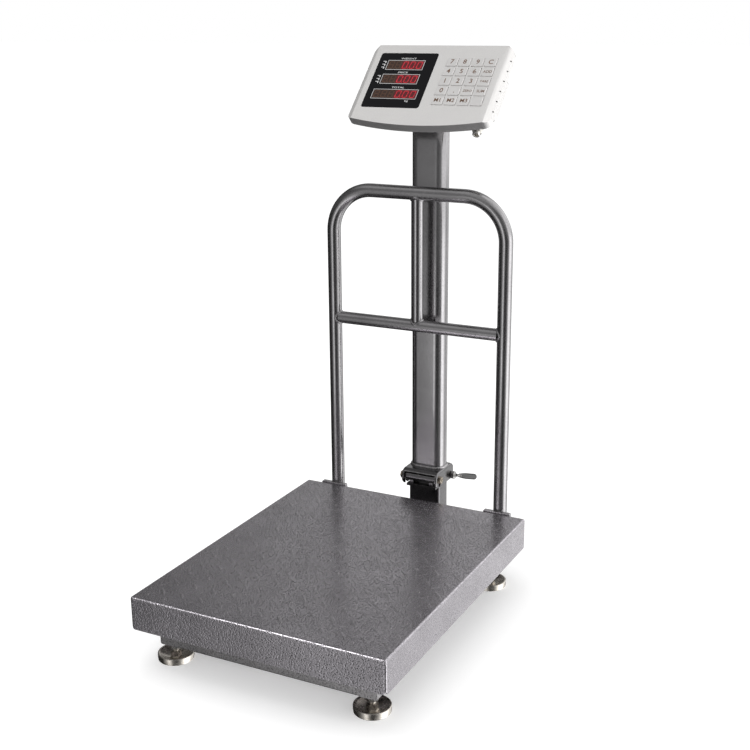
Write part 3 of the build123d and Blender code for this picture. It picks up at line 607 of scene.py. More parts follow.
PAN_PAINT = hammered("pan_hammertone", (0.31, 0.293, 0.316), (0.50, 0.476, 0.507), 2.4 * MM, 0.42 * MM, 0.24)
TUBE_PAINT = hammered("tube_hammertone", (0.31, 0.302, 0.31), (0.38, 0.372, 0.38), 2.6 * MM, 0.025 * MM, 0.18)
FRAME_PAINT = hammered("frame_hammertone", (0.20, 0.19, 0.20), (0.45, 0.435, 0.445), 3 * MM, 0.1 * MM, 0.28)
JOINT_PAINT = hammered("joint_enamel", (0.14, 0.135, 0.14), (0.20, 0.195, 0.20), 3.0 * MM, 0.03 * MM, 0.13)
NICKEL = turned_nickel()
ZINC = plated("zinc_plate", (0.72, 0.71, 0.68), 0.28)
YELLOW_ZINC = plated("yellow_zinc", (0.36, 0.31, 0.25), 0.24)
DARK_STEEL = plated("dark_steel", (0.42, 0.41, 0.40), 0.2)
BRIGHT = plated("bright_steel", (0.78, 0.76, 0.72), 0.2)
ALUMINIUM = brushed("cell_aluminium", (0.80, 0.80, 0.81), 0.3)
RUBBER = moulded("black_rubber", (0.012, 0.012, 0.012), (0.03, 0.03, 0.03), 0.7)
SILVER = silver_plastic()
KEYCAP = moulded("key_silver", (0.80, 0.785, 0.775), (0.97, 0.955, 0.94), 0.3, 0.3 * MM, 0.6, 0.2)
WINDOW = window_black()
GRIP = moulded("grip_black", (0.008, 0.008, 0.008), (0.018, 0.017, 0.017), 0.32, 0.8 * MM, 0.0, 0.1)
ROCKER = moulded("rocker_black", (0.012, 0.012, 0.013), (0.03, 0.03, 0.032), 0.35)
CASE_GREY = moulded("battery_case", (0.06, 0.06, 0.065), (0.10, 0.10, 0.105), 0.5)
BOARD = board_green()
BRONZE_INK = printed("bronze_ink", (0.10, 0.05, 0.025), (0.16, 0.08, 0.04))
WHITE_INK = printed("white_ink", (0.46, 0.46, 0.46), (0.66, 0.66, 0.66))
UNLIT_FACE = printed("readout_unlit", (0.028, 0.012, 0.008), (0.045, 0.020, 0.012))
UNLIT_BAR = printed("segment_unlit", (0.075, 0.035, 0.018), (0.11, 0.05, 0.026))
LIT_FACE = glowing("readout_lit", (0.07, 0.004, 0.006), 0.5, False)
LIT_BAR = glowing("segment_lit", (0.55, 0.015, 0.03), 0.7)


# ---- pan ------------------------------------------------------------------------------------------
def facing(turn):
    """The level direction at an angle from X."""
    return Vector((cos(turn), sin(turn), 0))


def folded_pan():
    """The sheet cover: rounded folds, and skirts that meet at an open seam in every corner."""
    low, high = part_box("platform_pan")
    middle = (low + high) / 2
    half = (high - low) / 2
    slit = [pi / 4 - SLIT_HALF_ANGLE, pi / 4 + SLIT_HALF_ANGLE]
    turns = [0, slit[0] / 2, slit[0], slit[1], (slit[1] + pi / 2) / 2, pi / 2]
    beyond = [0.8 * MM, 1.9 * MM, 3.2 * MM]
    posts = []                      # (foot of the fold on the top, outward direction, way to the seam)
    for quarter, (sx, sy) in enumerate(QUARTERS):
        centre = Vector((sx * (half.x - PAN_FOLD), sy * (half.y - PAN_FOLD), 0))
        start = quarter * pi / 2
        end = start + pi / 2
        for reach in reversed(beyond):
            posts.append((centre - facing(end) * reach, facing(start), slit[0] * PAN_FOLD + reach))
        for turn in turns:
            posts.append((centre, facing(start + turn), min(abs(turn - edge) for edge in slit) * PAN_FOLD))
        for reach in beyond:
            posts.append((centre - facing(start) * reach, facing(end), slit[0] * PAN_FOLD + reach))
    rows = [(PAN_FOLD * sin(radians(a)), high.z - PAN_FOLD * (1 - cos(radians(a)))) for a in range(0, 91, 15)]
    seam_row = len(rows)
    rows += [(PAN_FOLD, high.z - PAN_FOLD - 3 * MM), (PAN_FOLD, None)]
    points = []
    for out, z in rows:
        for foot, outward, way in posts:
            point = Vector((middle.x, middle.y, 0)) + foot + outward * out
            near = max(0.0, 1 - way / SKIRT_CORNER)
            point.z = low.z + SKIRT_CORNER * (1 - sqrt(1 - near * near)) if z is None else z
            points.append(point)
    count = len(posts)
    per_corner = count // 4
    faces = [tuple(range(count))]
    for row in range(len(rows) - 1):
        for post in range(count):
            seam = post % per_corner == len(beyond) + 2
            if seam and row >= seam_row:
                continue
            after = (post + 1) % count
            here = row * count
            below = here + count
            faces.append((here + post, here + after, below + after, below + post))
    mesh = bpy.data.meshes.new("pan_cover")
    mesh.from_pydata(points, [], faces)
    net = bmesh.new()
    net.from_mesh(mesh)
    bmesh.ops.remove_doubles(net, verts=net.verts, dist=0.01 * MM)
    net.to_mesh(mesh)
    net.free()
    cover = linked("pan_cover", mesh)
    sheet = cover.modifiers.new("sheet", "SOLIDIFY")
    sheet.thickness = PAN_SHEET
    sheet.offset = -1
    sheet.use_even_offset = True
    rim = cover.modifiers.new("rim", "BEVEL")
    rim.width = 0.3 * MM
    rim.segments = 2
    rim.limit_method = "ANGLE"
    rim.angle_limit = radians(50)
    weight = cover.modifiers.new("weight", "WEIGHTED_NORMAL")
    weight.keep_sharp = True
    return settle(cover, "pan", "pan_paint", PAN_PAINT, "platform_pan")


def tread():
    """Low lens-shaped marks, each at right angles to its neighbours."""
    low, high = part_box("platform_pan")
    shape = Shape()
    half = TREAD_LENGTH / 2
    wide = TREAD_WIDTH / 2
    pointed = 0.35                  # draws the ends of the marks to points
    outline = [(half * cos(turn), wide * sin(turn) * abs(sin(turn)) ** pointed) for turn in circle(20)]
    levels = ((1.0, -0.1 * MM), (0.9, 0.3 * TREAD_HEIGHT), (0.66, 0.8 * TREAD_HEIGHT), (0.3, TREAD_HEIGHT))
    columns = int((high.x - low.x) / TREAD_PITCH * 2)
    lines = int((high.y - low.y) / TREAD_PITCH * 2)
    for column in range(1, columns):
        for line in range(1, lines):
            if (column + line) % 2:
                continue
            x = (low.x + high.x) / 2 + (column - columns / 2) * TREAD_PITCH / 2
            y = (low.y + high.y) / 2 + (line - lines / 2) * TREAD_PITCH / 2
            turn = radians(45 if column % 2 else -45)
            shape.at(Matrix.Translation((x, y, high.z)) @ Matrix.Rotation(turn, 4, "Z"))
            shape.skin([[(px * scale, py * scale, z) for px, py in outline] for scale, z in levels])
    return settle(shape.made("pan_tread"), "pan", "pan_paint", PAN_PAINT)


# ---- guard rail -----------------------------------------------------------------------------------
def arc(centre, radius, first, last, steps, plane):
    """Points on an arc between two angles, in a plane given by its two directions."""
    points = []
    for step in range(steps + 1):
        turn = first + (last - first) * step / steps
        points.append(centre + radius * (cos(turn) * plane[0] + sin(turn) * plane[1]))
    return points


def saddle(centre, branch, main, branch_radius, main_radius, steps=150):
    """Where a branch tube meets a main tube: branch and main are their directions."""
    third = branch.cross(main)
    path = []
    for turn in circle(steps):
        off = branch_radius * cos(turn)
        out = sqrt(max(main_radius ** 2 - off ** 2, 0))
        path.append(centre + third * off + main * branch_radius * sin(turn) + branch * out)
    return path


X, Y, Z = Vector((1, 0, 0)), Vector((0, 1, 0)), Vector((0, 0, 1))


def guard_rail():
    """The bent hoop, its crossbar and centre post, and the welds between them."""
    low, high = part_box("rail_hoop")
    y = (low.y + high.y) / 2
    span = high.x - RAIL_RADIUS
    top = high.z - RAIL_RADIUS
    path = [Vector((-span, y, low.z)), Vector((-span, y, low.z + 0.5 * MM))]
    bend = Vector((-span + RAIL_BEND, y, top - RAIL_BEND))
    path += arc(bend, RAIL_BEND, pi, pi / 2, 20, (X, Z))
    bend = Vector((span - RAIL_BEND, y, top - RAIL_BEND))
    path += arc(bend, RAIL_BEND, pi / 2, 0, 20, (X, Z))
    path += [Vector((span, y, low.z + 0.5 * MM)), Vector((span, y, low.z))]
    hoop = Shape().tube(path, RAIL_RADIUS, Y, 48)
    settle(hoop.made("rail_hoop_tube"), "pan", "tube_paint", TUBE_PAINT, "rail_hoop")

    bar_low, bar_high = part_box("rail_crossbar")
    level = (bar_low.z + bar_high.z) / 2
    inner = span - RAIL_RADIUS + 1.5 * MM
    bar = Shape().tube([Vector((-inner, y, level)), Vector((inner, y, level))], BAR_RADIUS, Y, 48)
    settle(bar.made("rail_crossbar_tube"), "pan", "tube_paint", TUBE_PAINT, "rail_crossbar")

    foot = Vector((0, y, level + BAR_RADIUS - 2 * MM))
    head = Vector((0, y, top - RAIL_RADIUS + 2 * MM))
    post = Shape().tube([foot, head], POST_RADIUS, Y, 48)
    settle(post.made("rail_post_tube"), "pan", "tube_paint", TUBE_PAINT, "rail_centre_post")

    welds = Shape()
    for side in (-1, 1):
        joint = Vector((side * span, y, level))
        path = saddle(joint, -side * X, Z, BAR_RADIUS, RAIL_RADIUS)
        welds.bead(path, joint - side * X * 10 * MM, WELD)
    welds.bead(saddle(Vector((0, y, level)), Z, X, POST_RADIUS, BAR_RADIUS), foot, WELD)
    welds.bead(saddle(Vector((0, y, top)), -Z, X, POST_RADIUS, RAIL_RADIUS), head, WELD)
    settle(welds.made("rail_welds"), "pan", "tube_paint", TUBE_PAINT)


def rail_plates():
    """The bolted plates, the welds that hold the legs to them, and the bolts."""
    finished("rail_foot_plates", 0.8 * MM, "tube_paint", FRAME_PAINT)
    low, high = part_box("rail_hoop")
    plate_low, plate_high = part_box("rail_foot_plates")
    y = (low.y + high.y) / 2
    span = high.x - RAIL_RADIUS
    beads = Shape()
    for side in (-1, 1):
        for edge in (-1, 1):
            x = side * span + edge * (RAIL_RADIUS - 0.4 * MM)
            line = []
            for step in range(120):
                share = step / 60 if step < 60 else (120 - step) / 60
                rise = plate_low.z + 4 * MM + share * (plate_high.z - plate_low.z - 8 * MM)
                line.append(Vector((x + (0.3 * MM if step < 60 else -0.3 * MM), plate_high.y, rise)))
            beads.bead(line, Vector((x, y, line[30].z)), 1.6 * MM)
    settle(beads.made("rail_plate_welds"), "pan", "tube_paint", FRAME_PAINT)

    bolts = Shape()
    for low, high in solid_boxes("rail_bolts"):
        centre = (low + high) / 2
        bolts.at(axes((centre.x, low.y, centre.z), Y))
        reach = high.y - low.y
        bolts.hexagon(10 * MM, reach - 4 * MM, reach)
        bolts.lathe([(6.2 * MM, reach - 5 * MM), (6.2 * MM, reach - 4.1 * MM), (3.1 * MM, reach - 4 * MM)])
        bolts.hexagon(10 * MM, 3 * MM, 8 * MM, True)
        bolts.thread(3 * MM, 0.3 * MM, reach - 5 * MM, 1.0 * MM)
    settle(bolts.made("rail_bolt_set"), "pan", "zinc", ZINC, "rail_bolts")


# ---- base and what the pan covers -----------------------------------------------------------------
def frame_tubes(name, node, boxes, along):
    """Square tubes with rounded corners, one in each box, along X or Y."""
    tubes = Shape()
    for low, high in boxes:
        if along == Y:
            tubes.at(axes((0, low.y, 0), Y, X))
            tubes.box((low.x, -high.z, 0), (high.x, -low.z, high.y - low.y), FRAME_CORNER)
        else:
            tubes.at(axes((low.x, 0, 0), X, Y))
            tubes.box((low.y, low.z, 0), (high.y, high.z, high.x - low.x), FRAME_CORNER)
    settle(tubes.made(name), "base", "frame_paint", FRAME_PAINT, node)


def base_frame():
    """The welded frame of square tube with the spine down its middle."""
    frame_tubes("frame_side_tubes", "base_side_tubes", solid_boxes("base_side_tubes"), Y)
    frame_tubes("frame_cross_tubes", "base_cross_tubes", solid_boxes("base_cross_tubes"), X)
    frame_tubes("frame_spine", "base_spine", [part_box("base_spine")], Y)


def weigh_parts():
    """The load cell, its spacers and bolts, the beam and arms, the pads and the overload stops."""
    finished("load_cell", 0.6 * MM, "cell_aluminium", ALUMINIUM)
    finished("load_cell_spacers", 0.4 * MM, "zinc", ZINC)
    finished("weigh_beam", 1.5 * MM, "frame_paint", FRAME_PAINT)
    finished("weigh_arms", 2.0 * MM, "frame_paint", FRAME_PAINT)
    finished("pan_pads", 0.4 * MM, "pad_rubber", RUBBER)
    bolts = Shape()
    for low, high in solid_boxes("load_cell_bolts"):
        centre = (low + high) / 2
        upward = centre.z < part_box("load_cell")[0].z + 8 * MM
        start = low.z if upward else high.z
        bolts.at(axes((centre.x, centre.y, start), Z if upward else -Z))
        bolts.hexagon(10 * MM, 0, 4 * MM, True)
        bolts.thread(3 * MM, 3.5 * MM, high.z - low.z, 1.0 * MM)
    settle(bolts.made("load_cell_bolt_set"), "base", "zinc", ZINC, "load_cell_bolts")
    stops = Shape()
    for low, high in solid_boxes("overload_stops"):
        centre = (low + high) / 2
        stops.at(Matrix.Translation((centre.x, centre.y, low.z)))
        reach = high.z - low.z
        stops.thread(4 * MM, 0, reach - 6 * MM, 1.25 * MM)
        stops.hexagon(13 * MM, 10 * MM, 15 * MM, True)
        stops.hexagon(13 * MM, reach - 7 * MM, reach)
    settle(stops.made("overload_stop_set"), "base", "zinc", ZINC, "overload_stops")


# ---- feet -----------------------------------------------------------------------------------------
def levelling_foot(name):
    """A turned, dished disc with a spanner hexagon and a threaded stud."""
    low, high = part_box(name)
    radius = (high.x - low.x) / 2
    centre = (low + high) / 2
    foot = Shape(Matrix.Translation((centre.x, centre.y, low.z)))
    profile = [(radius - 3 * MM, 0), (radius - 1.2 * MM, 0.15 * MM), (radius - 0.4 * MM, 1.0 * MM)]
    profile += [(radius - 0.4 * MM, 3.2 * MM), (radius - 0.8 * MM, 3.5 * MM), (radius, 3.9 * MM)]
    profile += [(radius, FOOT_RIM - 1.2 * MM)]
    profile += [(radius - 1.2 * MM * (1 - cos(a)), FOOT_RIM - 1.2 * MM * (1 - sin(a)))
                for a in (radians(30), radians(60), radians(90))]
    rise = FOOT_DISH - FOOT_HOLLOW
    for step in range(9):
        r = FOOT_HOLLOW_EDGE - 1.9 * MM * step
        profile.append((r, FOOT_RIM + rise - sqrt(FOOT_DISH ** 2 - r ** 2) + 0.02 * MM))
    foot.lathe(profile, 96)
    foot.hexagon(14 * MM, 2 * MM, 13 * MM)
    foot.thread(STUD_RADIUS, 12.5 * MM, high.z - low.z)
    return settle(foot.made(name + "_turned"), "levelling_" + name, "nickel", NICKEL, name)


def lock_nuts():
    """The lock nuts under the side tubes, each on its washer."""
    nuts = Shape()
    for low, high in solid_boxes("foot_lock_nuts"):
        centre = (low + high) / 2
        nuts.at(Matrix.Translation((centre.x, centre.y, low.z)))
        nuts.hexagon(17 * MM, 0, high.z - low.z - 1.2 * MM, True)
        nuts.turned((5.2, 6.8), (9.4, 6.8), (9.5, 7.2), (9.5, 7.95), (5.2, 8))
    return settle(nuts.made("lock_nut_set"), "base", "zinc", ZINC, "foot_lock_nuts")


# ---- folding joint --------------------------------------------------------------------------------
def cross_bolt(node, body, material, flats, head, radius, pitch, short, nut=True):
    """A bolt along X: its head is on the left, and its thread ends short of the box by so much."""
    low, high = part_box(node)
    centre = (low + high) / 2
    long = high.x - low.x
    bolt = Shape(axes((low.x, centre.y, centre.z), X))
    bolt.hexagon(flats, head, 0)
    bolt.thread(radius, head - 0.5 * MM, long - short, pitch)
    if nut:
        bolt.hexagon(flats, long - 6 * MM, long - 1 * MM, True)
    return settle(bolt.made(node + "_set"), body, "zinc", material, node)


def folding_joint():
    """Stub, rest bar, collar and bolts."""
    finished("column_stub", 1.4 * MM, "frame_paint", JOINT_PAINT)
    finished("clamp_collar", 1.4 * MM, "frame_paint", JOINT_PAINT)
    low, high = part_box("rest_bar")
    radius = (high.z - low.z) / 2
    long = high.x - low.x
    centre = (low + high) / 2
    bar = Shape(axes((low.x, centre.y, centre.z), X))
    bar.lathe([(radius - 3 * MM, 1 * MM), (radius - 2.4 * MM, 0), (radius - 0.8 * MM, 0), (radius, 0.8 * MM),
               (radius, long - 0.8 * MM), (radius - 0.8 * MM, long), (radius - 2.4 * MM, long),
               (radius - 3 * MM, long - 1 * MM)])
    bar.at(Matrix.Translation((-4 * MM, centre.y, centre.z)) @ Matrix.Rotation(radians(45), 4, "X"))
    bar.lathe([(2.4 * MM, radius - 1 * MM), (2.4 * MM, radius + 0.8 * MM), (1.8 * MM, radius + 1.3 * MM),
               (0.8 * MM, radius + 1.4 * MM)], 24)
    settle(bar.made("rest_bar_turned"), "base", "tube_paint", JOINT_PAINT, "rest_bar")

    cross_bolt("rest_bar_bolt", "base", YELLOW_ZINC, 11 * MM, 4.5 * MM, 3 * MM, 1.0 * MM, 0.2 * MM)
    cross_bolt("hinge_bolt", "base", DARK_STEEL, 13 * MM, 5.5 * MM, 4 * MM, 1.25 * MM, 0, nut=False)


def clamp_lever():
    """The hub, the slender arm and the oval grip."""
    hinge = sum(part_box("hinge_bolt"), Vector()) / 2
    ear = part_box("clamp_collar")[1].x + 1 * MM
    wide = LEVER_HUB_WIDTH
    hub = Shape(axes((ear, hinge.y, hinge.z), X))
    hub.lathe([(4.2 * MM, 0), (LEVER_HUB - 0.6 * MM, 0), (LEVER_HUB, 0.6 * MM), (LEVER_HUB, wide - 1.6 * MM),
               (LEVER_HUB - 1.6 * MM, wide), (5.0 * MM, wide), (4.2 * MM, wide - 0.5 * MM)], 48)
    along = Vector((0, cos(LEVER_DROP), -sin(LEVER_DROP)))
    place = axes((ear + wide - LEVER_ARM_INSET, hinge.y, hinge.z), along, X)
    hub.at(place)
    neck = []
    for step in range(13):
        share = step / 12
        z = LEVER_HUB - 3 * MM + share * (GRIP_START + 4 * MM - LEVER_HUB)
        neck.append((LEVER_ARM + 0.9 * MM * (1 - min(share * 3, 1)) ** 2 - 0.6 * MM * sin(pi * share), z))
    hub.lathe(neck, 32)
    flange = ((2.4, 3.0), (3.4, 2.6), (3.4, 0.6), (2.4, 0.2))       # radius, distance before the grip
    hub.lathe([(radius * MM, GRIP_START - before * MM) for radius, before in flange], 32)
    settle(hub.made("lever_arm_forged"), "lever", "zinc", DARK_STEEL, "lever_arm")

    grip = Shape(place)
    straight = GRIP_LENGTH - GRIP_RADIUS
    profile = [(2.6 * MM, GRIP_START - 0.1 * MM)]
    for step in range(17):
        share = step / 16
        fullness = sin(min(share * 1.9, 1) * pi / 2) ** 0.8
        profile.append((3.4 * MM + (GRIP_RADIUS - 3.4 * MM) * fullness, GRIP_START + share * straight))
    for step in range(1, 9):
        turn = step / 8 * pi / 2 * 0.98
        profile.append((GRIP_RADIUS * cos(turn), GRIP_START + straight + GRIP_RADIUS * sin(turn)))
    grip.lathe(profile, 40)
    settle(grip.made("lever_grip_moulded"), "lever", "grip_plastic", GRIP, "lever_grip")


# ---- column ---------------------------------------------------------------------------------------
def column():
    """The round-cornered tube and the bead that welds it to the collar."""
    low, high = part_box("column_tube")
    middle = (low + high) / 2
    levels = ((0, low.z), (0, high.z - 1.2 * MM), (0.4 * MM, high.z - 0.4 * MM), (1.2 * MM, high.z))
    tube = Shape().bar(low, high, COLUMN_CORNER, levels, 14)
    settle(tube.made("column_tube_smooth"), "column", "tube_paint", TUBE_PAINT, "column_tube")
    weld = Shape()
    outline = rounded(high.x - low.x + 1 * MM, high.y - low.y + 1 * MM, COLUMN_CORNER + 0.5 * MM, 8)
    path = []
    for step, (x, y) in enumerate(outline):
        ahead = outline[(step + 1) % len(outline)]
        gap = sqrt((ahead[0] - x) ** 2 + (ahead[1] - y) ** 2)
        parts = max(1, round(gap / (0.9 * MM)))
        for part in range(parts):
            share = part / parts
            px = x + (ahead[0] - x) * share + middle.x
            py = y + (ahead[1] - y) * share + middle.y
            path.append(Vector((px, py, low.z + 0.8 * MM)))
    weld.bead(path, Vector((middle.x, middle.y, low.z)), 2.3 * MM)
    settle(weld.made("column_weld"), "column", "tube_paint", FRAME_PAINT)


# ---- head -----------------------------------------------------------------------------------------
def head_axes():
    """The face's own axes: X across, Y up the face, Z out of it, from the top middle of the face."""
    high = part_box("head_front_shell")[1]
    top = Vector((0, high.y - HEAD_SHELL * cos(HEAD_LEAN), high.z))
    outward = Vector((0, -cos(HEAD_LEAN), sin(HEAD_LEAN)))
    return axes(top, outward, X)


HEAD = head_axes()
TO_HEAD = HEAD.inverted()


def on_face_rim(point):
    """Chooses the outer edges of the face, not those round the keys or the window."""
    local = TO_HEAD @ point
    rim = abs(local.x) > FACE_HALF or local.y > -FACE_TOP or local.y < -FACE_BOTTOM
    return rim and local.z > -8 * MM


def inside_face(point):
    """Chooses the edges round the keys and the window."""
    local = TO_HEAD @ point
    return not on_face_rim(point) and local.z > -1 * MM


def head_shells():
    """The two halves of the head."""
    shell = softened("head_front_shell", (0.45 * MM, inside_face), (2.8 * MM, on_face_rim))
    settle(shell, "head", "head_plastic", SILVER, "head_front_shell")
    finished("head_rear_shell", 0.9 * MM, "head_plastic", SILVER)
    finished("display_window", 0.35 * MM, "window_plastic", WINDOW)


def bars(shape, left, bottom, width, height, slant, lit):
    """The seven bars of one digit; lit is a set of bar numbers, top first, clockwise, middle last."""
    thick = 0.17 * width
    gap = 0.03 * width
    middle = bottom + height / 2
    right = left + width
    top = bottom + height
    ends = [
        ((left, top), (right, top)),
        ((right, top), (right, middle)),
        ((right, middle), (right, bottom)),
        ((right, bottom), (left, bottom)),
        ((left, bottom), (left, middle)),
        ((left, middle), (left, top)),
        ((left, middle), (right, middle)),
    ]
    for number in sorted(lit):
        (x0, y0), (x1, y1) = ends[number]
        long = sqrt((x1 - x0) ** 2 + (y1 - y0) ** 2)
        ux, uy = (x1 - x0) / long, (y1 - y0) / long
        half = thick / 2
        outline = []
        for run, off in ((gap, 0), (gap + half, half), (long - gap - half, half), (long - gap, 0),
                         (long - gap - half, -half), (gap + half, -half)):
            px = x0 + ux * run - uy * off
            py = y0 + uy * run + ux * off
            outline.append((px + (py - bottom) * slant, py))
        shape.skin([[(px, py, z) for px, py in outline] for z in (0, PRINT)])


def plate(shape, left, right, bottom, top, z0, z1):
    """A thin flat plate on the face."""
    outline = [(left, bottom), (right, bottom), (right, top), (left, top)]
    shape.skin([[(x, y, z) for x, y in outline] for z in (z0, z1)])


EIGHT = {0, 1, 2, 3, 4, 5, 6}
ZERO = {0, 1, 2, 3, 4, 5}
READOUTS = (  # left, right, top and bottom down the face in mm, digits, unlit digits
    (-85.5, -20.5, 32.0, 52.0, 5, 2),
    (-85.5, -20.5, 61.0, 81.0, 5, 2),
    (-91.0, -12.5, 92.0, 111.5, 6, 3),
)


def readouts():
    """Three read-outs on the window: white outline, dark and lit fields, and seven-bar digits."""
    lift = HEAD @ Matrix.Translation((0, 0, 0.02 * MM))
    outlines, dull_fields, lit_fields = Shape(lift), Shape(lift), Shape(lift)
    digits_at = HEAD @ Matrix.Translation((0, 0, 0.02 * MM + PRINT))
    dull_bars, lit_bars = Shape(digits_at), Shape(digits_at)
    for left, right, top, bottom, count, unlit in READOUTS:
        left, right, top, bottom = left * MM, right * MM, -top * MM, -bottom * MM
        line = 0.8 * MM
        plate(outlines, left, right, bottom, bottom + line, 0, PRINT)
        plate(outlines, left, right, top - line, top, 0, PRINT)
        plate(outlines, left, left + line, bottom + line, top - line, 0, PRINT)
        plate(outlines, right - line, right, bottom + line, top - line, 0, PRINT)
        inner = left + 1.6 * MM
        pitch = (right - left - 3.2 * MM) / count
        border = inner + unlit * pitch - 0.6 * MM
        plate(dull_fields, left + line, border, bottom + line, top - line, 0, PRINT)
        plate(lit_fields, border, right - line, bottom + line, top - line, 0, PRINT)
        for digit in range(count):
            dark = digit < unlit
            x = inner + digit * pitch + 0.17 * pitch
            y = bottom + 3.4 * MM
            height = top - bottom - 6.8 * MM
            bars(dull_bars if dark else lit_bars, x, y, 0.58 * pitch, height, 0.1, EIGHT if dark else ZERO)
            point = dull_bars if dark or digit != unlit else lit_bars
            dot = x + 0.70 * pitch
            plate(point, dot, dot + 1.5 * MM, y - 0.6 * MM, y + 0.9 * MM, 0, PRINT)
    settle(outlines.made("readout_outlines"), "head", "window_plastic", WHITE_INK)
    settle(dull_fields.made("readout_unlit_fields"), "head", "digit_red", UNLIT_FACE)
    settle(lit_fields.made("readout_lit_fields"), "head", "digit_red", LIT_FACE)
    settle(dull_bars.made("readout_unlit_digits"), "head", "digit_red", UNLIT_BAR)
    settle(lit_bars.made("readout_lit_digits"), "head", "digit_red", LIT_BAR)


def lettering(name, text, size, across, down, height, material, body, slot, stretch=1.0):
    """Generic lettering as a thin mesh on the face, centred on a place across and down it."""
    curve = bpy.data.curves.new(name, "FONT")
    curve.offset = 0.012 * size
    curve.body = text
    curve.size = size
    curve.align_x = "CENTER"
    curve.align_y = "CENTER"
    curve.extrude = PRINT / 2
    curve.resolution_u = 4
    source = bpy.data.objects.new(name + "_curve", curve)
    bpy.context.scene.collection.objects.link(source)
    bpy.context.view_layer.update()
    graph = bpy.context.evaluated_depsgraph_get()
    mesh = bpy.data.meshes.new_from_object(source.evaluated_get(graph))
    bpy.data.objects.remove(source)
    mesh.transform(HEAD @ Matrix.Translation((across, -down, height)) @ Matrix.Diagonal((stretch, 1, 1, 1)))
    piece = linked(name, mesh)
    return settle(piece, body, slot, material)


LABEL_SIZE = 4.6 * MM
LABEL_STRETCH = 1.5


def window_marks():
    """Short generic words over the read-outs and plain marks beside them."""
    for name, text, across, down in (
        ("label_weight", "WEIGHT", -51, 28.6),
        ("label_price", "PRICE", -52, 57.6),
        ("label_total", "TOTAL", -50, 88.6),
        ("label_unit", "kg", -27, 115.2),
    ):
        lettering(name, text, LABEL_SIZE, across * MM, down * MM, 0.04 * MM, WHITE_INK, "head",
                  "window_plastic", LABEL_STRETCH)
    marks = Shape(HEAD @ Matrix.Translation((0, 0, 0.02 * MM)))
    for down in (34, 40, 46, 64, 70, 76):
        plate(marks, -94 * MM, -88.5 * MM, -(down + 1.2) * MM, -down * MM, 0, PRINT)
        plate(marks, -90.2 * MM, -88.5 * MM, -(down + 4.0) * MM, -(down + 1.2) * MM, 0, PRINT)
    settle(marks.made("readout_marks"), "head", "window_plastic", WHITE_INK)


LEGENDS = {
    "7": "7", "8": "8", "9": "9", "price": "C",
    "4": "4", "5": "5", "6": "6", "add": "ADD",
    "1": "1", "2": "2", "3": "3", "tare": "TARE",
    "0": "0", "point": ".", "zero": "ZERO", "function": "SUM",
    "m1": "M1", "m2": "M2", "m3": "M3", "clear": "",
}


def keys():
    """Every key cap with softened edges and its legend."""
    for key, legend in LEGENDS.items():
        node = "key_" + key
        body = frame["nodes"][node]["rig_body"]
        finished(node, 0.55 * MM, "key_plastic", KEYCAP)
        if not legend:
            continue
        low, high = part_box(node)
        middle = TO_HEAD @ ((low + high) / 2)
        middle.y = face_middle(node)
        size = {1: 12.0, 2: 10.0, 3: 7.0, 4: 6.0}[len(legend)] * MM
        stretch = 1.0 if len(legend) < 3 else 0.95
        lettering(node + "_legend", legend, size, middle.x, -middle.y, KEY_PROUD + PRINT / 2 - 0.02 * MM,
                  BRONZE_INK, body, "key_plastic", stretch)


def face_middle(node):
    """The middle of a head node up the face, in the head's own axes."""
    heights = [(TO_HEAD @ vert.co).y for vert in frame["nodes"][node].data.vertices]
    return (min(heights) + max(heights)) / 2


def head_fittings():
    """Bracket, tilt bolt, socket, rocker, screws and what is inside the head."""
    finished("head_bracket", 0.5 * MM, "tube_paint", TUBE_PAINT)
    cross_bolt("tilt_bolt", "column", ZINC, 10 * MM, 4 * MM, 3 * MM, 1.0 * MM, 0)
    finished("power_switch", 0.4 * MM, "grip_plastic", ROCKER)
    finished("circuit_board", 0.4 * MM, "board_green", BOARD)
    finished("digit_modules", 0.4 * MM, "digit_red", UNLIT_FACE)
    finished("battery", 0.4 * MM, "battery_case", CASE_GREY)
    signal_socket()
    case_screws()


def signal_socket():
    """The round connector and the plug on it: flange, thread, knurled ring and an empty cord grip."""
    points = [TO_HEAD @ vert.co for vert in frame["nodes"]["signal_socket"].data.vertices]
    x = (min(p.x for p in points) + max(p.x for p in points)) / 2
    z = (min(p.z for p in points) + max(p.z for p in points)) / 2
    top = max(p.y for p in points)
    socket = Shape(HEAD @ axes((x, top, z), (0, -1, 0), X))
    socket.turned((4.6, 0), (4.9, 0.3), (4.9, 5), sides=32)
    socket.turned((5, 4), (7.2, 4), (7.5, 4.4), (7.5, 5.6), (7.1, 6), (5.5, 6), sides=48)
    socket.thread(6 * MM, 6 * MM, 18 * MM, 1.0 * MM, 32)
    ring = []
    for z in (17.0, 17.6, 27.4, 28.0):
        edge = 0.6 * MM if z in (17.0, 28.0) else 0
        row = []
        for side, turn in enumerate(circle(96)):
            r = 8.0 * MM - edge - (0.4 * MM if side % 4 < 2 else 0)
            row.append((r * cos(turn), r * sin(turn), z * MM))
        ring.append(row)
    socket.skin(ring)
    socket.turned((6.2, 27.5), (6.0, 33.2), (5.4, 34), (3.4, 34), (3.0, 33.6), (3.0, 28.5), sides=48)
    settle(socket.made("signal_socket_turned"), "head", "socket_metal", BRIGHT, "signal_socket")


